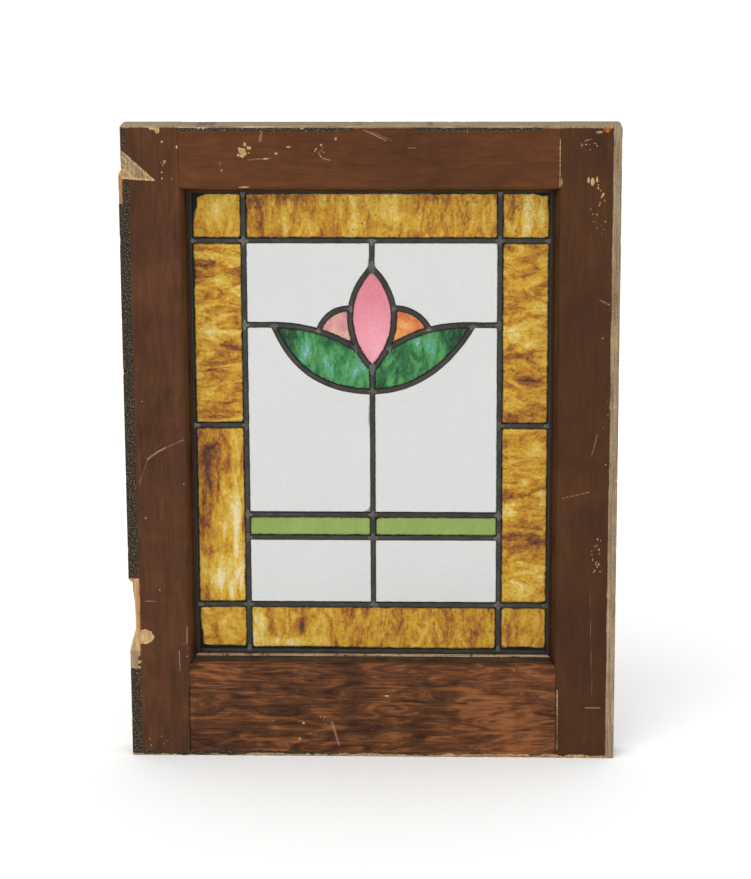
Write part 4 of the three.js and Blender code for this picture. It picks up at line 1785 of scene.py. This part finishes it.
# Stops of the streaky glass, from its darkest streaks to its lightest
AMBER = ((0.0, "431D05"), (0.2, "8E4E06"), (0.36, "B87708"), (0.5, "CD9A12"), (0.64, "DCB22E"),
         (0.8, "E6CA68"), (1.0, "EFE5BE"))
GREENS = ((0.0, "06240F"), (0.2, "17602F"), (0.38, "2A8048"), (0.52, "5FA652"), (0.66, "4EA181"),
          (0.84, "93C6D6"), (1.0, "DEF2FC"))
PINKS = ((0.0, "AB4B63"), (0.3, "DE8192"), (0.55, "EE9AA8"), (0.8, "F6B0BC"), (1.0, "FECBD4"))
PEACHES = ((0.0, "BC5A6E"), (0.35, "D68994"), (0.6, "E1A79F"), (0.8, "E9C3A1"), (1.0, "F4DCBE"))
ORANGES = ((0.0, "B84318"), (0.35, "DB703A"), (0.6, "E79252"), (0.8, "EFB063"), (1.0, "FAD29A"))
LIMES = ((0.0, "708536"), (0.35, "8DA34E"), (0.55, "9BB25E"), (0.8, "A9BE6B"), (1.0, "C5D28B"))


# Old cement smeared on the glass beside the leads, and small spots of dirt
SMEARS = (
    Tone((-160, 528), 6, 12, -4), Tone((158, 530), 5, 7, -2), Tone((-4.6, 327), 2.4, 15, -1.8),
    Tone((8.9, 279), 1.2, 1.2, -6), Tone((-6.9, 180), 1.3, 10, -2.4), Tone((-4, 236), 3, 3, -2),
    Tone((112.5, 173), 1.4, 26, -1.0), Tone((-146, 101), 22, 4, -2.6), Tone((-60, 101), 60, 2.5, -1.2),
    Tone((140, 101), 20, 3, -2.4), Tone((-161, 110), 3, 14, -2), Tone((159, 205), 2, 4, -4),
    Tone((-3, 469), 5, 5, -1.2), Tone((-159, 463), 3, 10, -2.5),
)


@dataclass
class Glazing:
    """The panes: thin rippled sheets, cut to sit within the leads. Millimetres."""

    pattern: Pattern
    cell: float = 1.9
    side_gap: float = 0.95
    art_ripple: float = 0.16
    clear_ripple: float = 0.07
    lead_step: float = 1.5
    batch: int = 100
    least: float = 0.2

    def __post_init__(self) -> None:
        """Takes the glass's depth from the frame and gathers the leads' lines."""
        low, high = box_mm("petal_pane_centre")
        self.front, self.back = low[1], high[1]
        self.ripples = Noise(31)
        lines = {name: along(line, self.lead_step) for name, line in self.pattern.lines().items()}
        self.lead_points = np.vstack(list(lines.values()))
        half = {True: Leadwork.edge_face / 2, False: Leadwork.face / 2}
        self.lead_half = np.concatenate([
            np.full(len(points), half["edge_came" in name]) for name, points in lines.items()
        ])

    def rim(self, x: Array, z: Array) -> Array:
        """Distance from each point to the nearest lead's edge, less where cement is smeared.

        Args:
            x: Places across, in mm.
            z: Heights.

        Returns:
            The distances, in millimetres.
        """
        nearest = np.full(x.shape, np.inf)
        for start in range(0, len(self.lead_points), self.batch):
            some = slice(start, start + self.batch)
            points = self.lead_points[some]
            far = np.hypot(x[..., None] - points[:, 0], z[..., None] - points[:, 1])
            nearest = np.minimum(nearest, (far - self.lead_half[some]).min(-1))
        return nearest + sum(smear.over(x, z) for smear in SMEARS)

    def sheet(self, node: str, finish: Material, slot: str, low: Array, high: Array,
              tones: tuple[Tone, ...] = (), tone: float = 0.5) -> None:
        """One pane between two matching edges.

        A point is low (1 - t) + high t. Its two faces lie half the ripple
        inside the sheet's thickness and move by a smooth noise.

        Args:
            node: The pane's node.
            finish: Its glass.
            slot: Its material slot.
            low: Points along one edge, as (x, z).
            high: As many points along the other edge.
            tones: Lighter and darker areas.
            tone: The sheet's own tone.
        """
        span = np.hypot(*(high - low).T).max()
        t = np.linspace(0, 1, max(5, round(span / self.cell)))[None, :, None]
        flat = low[:, None] * (1 - t) + high[:, None] * t
        x, z = flat[..., 0], flat[..., 1]
        size = self.clear_ripple if slot == "clear_glass" else self.art_ripple
        seat = own_number(node) * 1.7
        wave = self.ripples.at(x / 11 + seat, z / 11, 2)
        wave = wave + 0.5 * self.ripples.at(x / 3.4, z / 3.4 + seat)
        rear = self.ripples.at(x / 14 - seat, z / 14, 2)
        near = np.stack([x, self.front + size * (1 + 0.6 * wave), z], -1)
        far = np.stack([x, self.back - size * (1 + 0.8 * rear), z], -1)
        rings = np.concatenate([near, far[:, ::-1]], 1)
        level = np.full(x.shape, tone) + sum(area.over(x, z) for area in tones)
        rim = self.rim(x, z)
        part = Part(f"{node}_glass")
        part.add(
            rings,
            tone=np.concatenate([level, level[:, ::-1]], 1),
            rim=np.clip(np.concatenate([rim, rim[:, ::-1]], 1), -4, 12),
        )
        part.finish(finish, slot, node)

    def oblong(self, node: str) -> tuple[Array, Array]:
        """The left and right edges of a four-square pane, from its node's box.

        Args:
            node: Its node.

        Returns:
            Points up its left edge, and as many up its right.
        """
        low, high = box_mm(node)
        z = np.linspace(low[2], high[2], max(5, round((high[2] - low[2]) / self.cell)))
        left, right = (np.column_stack([np.full(z.shape, side[0]), z]) for side in (low, high))
        return left, right

    def between(self, hand: Hand, start: float, end: float, under: Array,
                over: Array) -> tuple[Array, Array]:
        """Matching lower and upper edges between two lines, each read by its reach.

        Each edge keeps the side gap from its line, measured square to it: the
        height moves by the gap times sqrt(1 + slope^2).

        Args:
            hand: Which side.
            start: Reach where the pane starts.
            end: Reach where it ends.
            under: The line below it.
            over: The line above it.

        Returns:
            The lower and upper edges.
        """
        reach = np.linspace(start, end, max(6, round(abs(end - start) / self.cell)))
        edges = []
        for line, way in ((under, 1), (over, -1)):
            out = (line[:, 0] - self.pattern.axis) * hand.side
            order = np.argsort(out, kind="stable")
            height = np.interp(reach, out[order], line[order, 1])
            slope = np.clip(np.gradient(height, reach), -4, 4)
            edges.append(height + way * self.side_gap * np.sqrt(1 + slope**2))
        crossed = edges[1] < edges[0] + self.least
        middle = (edges[0] + edges[1]) / 2
        low = np.where(crossed, middle - self.least / 2, edges[0])
        high = np.where(crossed, middle + self.least / 2, edges[1])
        return self.pattern.out(hand, reach, low), self.pattern.out(hand, reach, high)

    def level(self, hand: Hand, z: float) -> Array:
        """A level line from the axis out to the border."""
        return self.pattern.out(hand, [0, 130], z)

    def flower(self) -> None:
        """The petal, the two small petals and the two leaves."""
        p = self.pattern
        pink = ArtGlass(
            "pink_glass_streaky", PINKS, stretch=(1, 1, 0.5), scale=45, swirl=1.0,
            contrast=0.6, mottle=0.5, specks=0.2, cement=0.55,
        ).make()
        z = np.linspace(p.petal_bottom + 4.5, p.petal_top - 4.5, 50)
        half = p.petal_reach(z) - self.side_gap
        self.sheet(
            "petal_pane_centre", pink, "pink_glass",
            np.column_stack([p.axis - half, z]), np.column_stack([p.axis + half, z]),
            (Tone((p.axis, 395), 22, 25, 0.22), Tone((p.axis + 4, 445), 16, 16, -0.12)), 0.5,
        )
        leaf_tones = {
            "left": (
                Tone((-82, 402), 16, 14, -0.34), Tone((-60, 388), 6, 14, 0.34),
                Tone((-42, 380), 7, 13, 0.22), Tone((-20, 370), 22, 14, 0.12),
                Tone((-30, 398), 14, 8, -0.2),
            ),
            "right": (
                Tone((24, 372), 18, 14, -0.08), Tone((44, 390), 8, 15, 0.16),
                Tone((57, 394), 5, 12, 0.26), Tone((82, 402), 16, 14, -0.3),
                Tone((30, 392), 12, 9, -0.12),
            ),
        }
        for hand in HANDS:
            green = ArtGlass(
                f"green_glass_{hand.name}", GREENS, stretch=(1, 1, 0.4), turn=-28 * hand.side,
                scale=70, swirl=2.2, contrast=1.5, mottle=0.5, specks=0.15, cement=0.7,
            ).make()
            leaf = np.vstack([
                p.leaf_line(hand, hand.tip, p.leaf_join[0]),
                p.petal_edge(hand, p.leaf_join[1], p.petal_bottom),
            ])
            edges = self.between(hand, self.side_gap, hand.tip - 2.4, p.cup_line(hand), leaf)
            tones = leaf_tones[hand.name]
            self.sheet(f"leaf_pane_{hand.name}", green, "green_glass", *edges, tones, 0.38)
            petal = p.petal_edge(hand, p.leaf_join[1], p.petal_widest)
            over = np.vstack([petal, p.sepal_line(hand)[::-1]])
            under = p.leaf_line(hand, p.leaf_join[0], hand.sepal_foot)
            start = p.leaf_join[0] + 2.2
            edges = self.between(hand, start, hand.sepal_foot - 1.4, under, over)
            stops, slot = (PEACHES, "peach_glass") if hand.side < 0 else (ORANGES, "orange_glass")
            small = ArtGlass(
                f"{slot}_streaky", stops, scale=60, swirl=1.2,
                contrast=1.4, mottle=0.6, specks=0.2, cement=0.55,
            ).make()
            inner = Tone((p.axis + hand.side * 26, 402), 14, 10, 0.2)
            self.sheet(f"sepal_pane_{hand.name}", small, slot, *edges, (inner,), 0.48)

    def clear(self) -> None:
        """The clear panes round the flower, and below the bars."""
        p = self.pattern
        glass = ClearGlass().make()
        for hand in HANDS:
            reach = abs(p.border[hand.side] - p.axis) - self.side_gap
            flower = np.vstack([
                p.petal_edge(hand, p.petal_top, hand.sepal_head),
                p.sepal_line(hand)[::-1],
                p.leaf_line(hand, hand.sepal_foot, reach + 2),
            ])
            shapes = {
                "upper": (flower, self.level(hand, p.border_top)),
                "middle": (self.level(hand, p.bar_top),
                           np.vstack([p.cup_line(hand), self.level(hand, p.shoulder_height)[1:]])),
                "lower": (self.level(hand, p.border_bottom), self.level(hand, p.bar_bottom)),
            }
            for row, (under, over) in shapes.items():
                edges = self.between(hand, self.side_gap, reach, under, over)
                self.sheet(f"clear_pane_{row}_{hand.name}", glass, "clear_glass", *edges)

    def coloured_borders(self) -> None:
        """The amber border all round, and the two lime bars."""
        upright, level, even = (1, 1, 0.35), (0.4, 1, 1), (1, 1, 1)
        # Each node's stretch, scale, contrast, specks, own tone, and lighter and darker areas
        recipes = {
            "border_pane_top": (upright, 75, 1.5, 0.8, 0.5, (
                Tone((-102, 520), 16, 22, -0.24), Tone((-79, 512), 5, 12, 0.22),
                Tone((-75, 532), 16, 5, -0.25), Tone((-15, 518), 5, 20, 0.2),
                Tone((22, 520), 12, 18, 0.22), Tone((60, 531), 14, 5, -0.25),
                Tone((87, 518), 4, 18, -0.14),
            )),
            "border_pane_bottom": (upright, 80, 1.5, 0.3, 0.47, (
                Tone((-110, 120), 8, 26, 0.36), Tone((-97, 122), 2.5, 18, -0.28),
                Tone((-66, 124), 3.5, 15, -0.34), Tone((-80, 106), 26, 6, 0.3),
                Tone((28, 120), 5, 18, -0.12), Tone((96, 122), 7, 16, -0.2),
            )),
            "corner_pane_top_left": (upright, 60, 1.4, 0.5, 0.5, (
                Tone((-141, 518), 9, 14, 0.26), Tone((-157, 505), 5, 10, -0.12),
            )),
            "corner_pane_top_right": (upright, 90, 1.6, 0.9, 0.46, (
                Tone((131, 522), 6, 14, -0.22), Tone((144, 515), 4.5, 24, 0.5),
                Tone((155, 512), 5, 14, 0.26),
            )),
            "corner_pane_bottom_left": (even, 55, 1.3, 0.2, 0.52, (
                Tone((-150, 117), 6, 8, -0.16), Tone((-140, 126), 10, 7, 0.14),
            )),
            "corner_pane_bottom_right": (upright, 55, 1.4, 0.2, 0.48, (
                Tone((130, 118), 3, 14, -0.2),
            )),
            "border_pane_upper_left": (level, 60, 1.9, 0.5, 0.49, (
                Tone((-136, 457), 15, 10, 0.26), Tone((-150, 468), 14, 4, -0.25),
                Tone((-136, 442), 5, 7, -0.2), Tone((-126, 420), 8, 8, -0.2),
                Tone((-142, 405), 24, 8, 0.28), Tone((-132, 391), 12, 8, -0.24),
                Tone((-140, 366), 16, 4, -0.14), Tone((-142, 347), 22, 3, 0.18),
                Tone((-142, 338), 22, 9, -0.14),
            )),
            "border_pane_upper_right": (level, 65, 1.8, 0.6, 0.48, (
                Tone((140, 438), 15, 6, -0.2), Tone((134, 402), 14, 12, 0.2),
                Tone((133, 383), 10, 6, -0.22), Tone((145, 359), 13, 9, -0.28),
                Tone((150, 337), 10, 2.6, -0.45), Tone((140, 329), 18, 4, -0.14),
            )),
            "border_pane_lower_left": (upright, 50, 1.7, 0.3, 0.47, (
                Tone((-150, 290), 14, 26, -0.26), Tone((-152, 240), 9, 28, -0.22),
                Tone((-126, 225), 12, 50, 0.36), Tone((-140, 172), 20, 20, 0.34),
                Tone((-150, 197), 12, 6, -0.22), Tone((-122, 222), 1.6, 18, -0.6),
            )),
            "border_pane_lower_right": (level, 70, 1.7, 0.5, 0.49, (
                Tone((154, 298), 6, 9, 0.26), Tone((128, 233), 8, 8, 0.4), Tone((140, 248), 18, 5, -0.12),
                Tone((140, 208), 22, 14, -0.2), Tone((151, 203), 8, 5, -0.28),
                Tone((140, 163), 22, 18, 0.24),
            )),
        }
        for node, (stretch, scale, contrast, specks, tone, tones) in recipes.items():
            glass = ArtGlass(
                f"amber_glass_{node}", AMBER, stretch=stretch, scale=scale, swirl=1.7,
                contrast=contrast, mottle=0.9, specks=specks,
            )
            self.sheet(node, glass.make(), "amber_glass", *self.oblong(node), tones, tone)
        lime = ArtGlass(
            "lime_glass_mottled", LIMES, stretch=(1, 1, 0.4), scale=45, swirl=1.0,
            contrast=0.5, mottle=0.3, specks=0.15, cement=0.7,
        ).make()
        for hand in HANDS:
            node = f"bar_pane_{hand.name}"
            self.sheet(node, lime, "lime_glass", *self.oblong(node))

    def build(self) -> None:
        """Makes every pane."""
        self.flower()
        self.clear()
        self.coloured_borders()


# ------ putty


@dataclass
class PuttyBeads:
    """The putty behind the panel: a sloped bead along each side of the rabbet."""

    step: float = 2.0
    lumps: float = 0.5

    def bead(self, node: str, finish: Material) -> None:
        """One bead in its node's box.

        Its section is a wedge, thin towards the glass and thick at the
        rabbet's wall, and its slope sinks by a smooth noise.

        Args:
            node: Its node.
            finish: Its putty.
        """
        low, high = box_mm(node)
        upright = node.endswith(("left", "right"))
        axis, cross = (2, 0) if upright else (0, 2)
        wall_is_high = node.endswith(("right", "top"))
        width = high[cross] - low[cross]
        inward = np.array([0, 0, 0, 0.12, 0.3, 0.5, 0.7, 0.88, 1, 1, 0.7, 0.4]) * width
        slope = np.array([0, 0.5, 1, 0.9, 0.7, 0.5, 0.32, 0.2, 0.13, 0, 0, 0])
        travel = np.arange(low[axis], high[axis], self.step)
        noise = Noise(own_number(node))
        rough = self.lumps * (0.5 + 0.5 * noise.at(travel[:, None] / 7, inward[None] / 3, 3))
        depth = high[1] - low[1]
        y = low[1] + slope[None] * depth - rough * (slope > 0.05)[None]
        y = np.maximum(y, low[1])
        wall = high[cross] if wall_is_high else low[cross]
        across = wall + inward[None] * (-1 if wall_is_high else 1) + 0 * travel[:, None]
        rings = np.empty((len(travel), len(inward), 3))
        rings[..., axis] = travel[:, None]
        rings[..., 1] = y
        rings[..., cross] = across
        part = Part(f"{node}_rough")
        part.add(rings)
        part.finish(finish, "putty", node)

    def build(self) -> None:
        """Makes the four beads."""
        finish = OldPutty().make()
        for side in ("top", "bottom", "left", "right"):
            self.bead(f"putty_bead_{side}", finish)


# ------ studio


@dataclass
class Studio:
    """A pale floor, soft light and the camera. Metres and degrees."""

    lens: float = 116.7
    sensor: float = 36.0
    camera_at: Triple = (0.0972, -2.5812, 0.9159)
    pitch: float = 13.297
    yaw: float = -2.071
    roll: float = -0.286
    floor_radius: float = 30.0
    floor_sectors: int = 48
    floor_rings: int = 11
    world_light: float = 1.0
    key_from: Triple = (-0.5, -0.9, 1.3)
    key_power: float = 0.9
    key_breadth: float = 34.0

    def camera(self) -> None:
        """The camera: it looks along +Y, turned by the yaw, down by the pitch, then rolled."""
        yaw, pitch, roll = (math.radians(angle) for angle in (self.yaw, self.pitch, self.roll))
        flat = math.cos(pitch)
        ahead = Vector((math.sin(yaw) * flat, math.cos(yaw) * flat, -math.sin(pitch)))
        level = Vector((math.cos(yaw), -math.sin(yaw), 0))
        up = level.cross(ahead)
        right = level * math.cos(roll) + up * math.sin(roll)
        top = up * math.cos(roll) - level * math.sin(roll)
        data = bpy.data.cameras.new("camera")
        data.lens, data.sensor_width = self.lens, self.sensor
        camera = bpy.data.objects.new("camera", data)
        axes = Matrix((right, top, -ahead)).transposed().to_4x4()
        camera.matrix_world = Matrix.Translation(self.camera_at) @ axes
        link(camera)
        bpy.context.scene.camera = camera

    def floor(self) -> None:
        """A round pale floor under the sash: rings of radius growing as t^2."""
        count, rings = self.floor_sectors, self.floor_rings
        angle = np.linspace(0, 2 * np.pi, count, endpoint=False)
        radius = self.floor_radius * np.linspace(0, 1, rings + 1)[1:, None] ** 2
        ring = np.stack([radius * np.cos(angle), radius * np.sin(angle), 0 * radius * angle], -1)
        points = np.vstack([[(0, 0, 0)], ring.reshape(-1, 3)])
        turns = [(i, (i + 1) % count) for i in range(count)]
        faces = [(0, 1 + i, 1 + j) for i, j in turns]
        for k in range(rings - 1):
            near, far = 1 + count * k, 1 + count * (k + 1)
            faces += [(near + i, far + i, far + j, near + j) for i, j in turns]
        mesh = bpy.data.meshes.new("pale_floor")
        mesh.from_pydata(points, [], faces)
        tree = Tree("pale_floor_paint")
        speckle = tree.noise(tree.place(), 300, 2.0)
        shade = tree.ramp(speckle, [(0.3, "F6F6F5"), (0.7, "F9F9F9")])
        mesh.materials.append(tree.dress(Base_Color=shade, Roughness=0.9, Specular_IOR_Level=0.1))
        floor = bpy.data.objects.new("pale_floor", mesh)
        link(floor)

    def light(self) -> None:
        """An even white surround, and a broad soft sun from the upper left front."""
        world = bpy.data.worlds.new("white_surround")
        world.use_nodes = True
        background = world.node_tree.nodes["Background"]
        background.inputs["Color"].default_value = (1, 1, 1, 1)
        background.inputs["Strength"].default_value = self.world_light
        bpy.context.scene.world = world
        data = bpy.data.lights.new("key", "SUN")
        data.energy, data.angle = self.key_power, math.radians(self.key_breadth)
        key = bpy.data.objects.new("key", data)
        key.rotation_euler = (-Vector(self.key_from)).to_track_quat("-Z", "Y").to_euler()
        link(key)
        bpy.context.scene.view_settings.view_transform = "Standard"

    def build(self) -> None:
        """Sets up the camera, the floor and the light."""
        self.camera()
        self.floor()
        self.light()


def main() -> None:
    """Builds the studio and the window, piece by piece."""
    logging.basicConfig(level=logging.INFO, format="%(name)s: %(message)s")
    pattern = Pattern()
    for assembly in (Studio(), Sash(), Leadwork(pattern), Glazing(pattern), PuttyBeads()):
        LOG.info("building: %s", type(assembly).__name__)
        assembly.build()


if __name__ == "__main__":
    main()
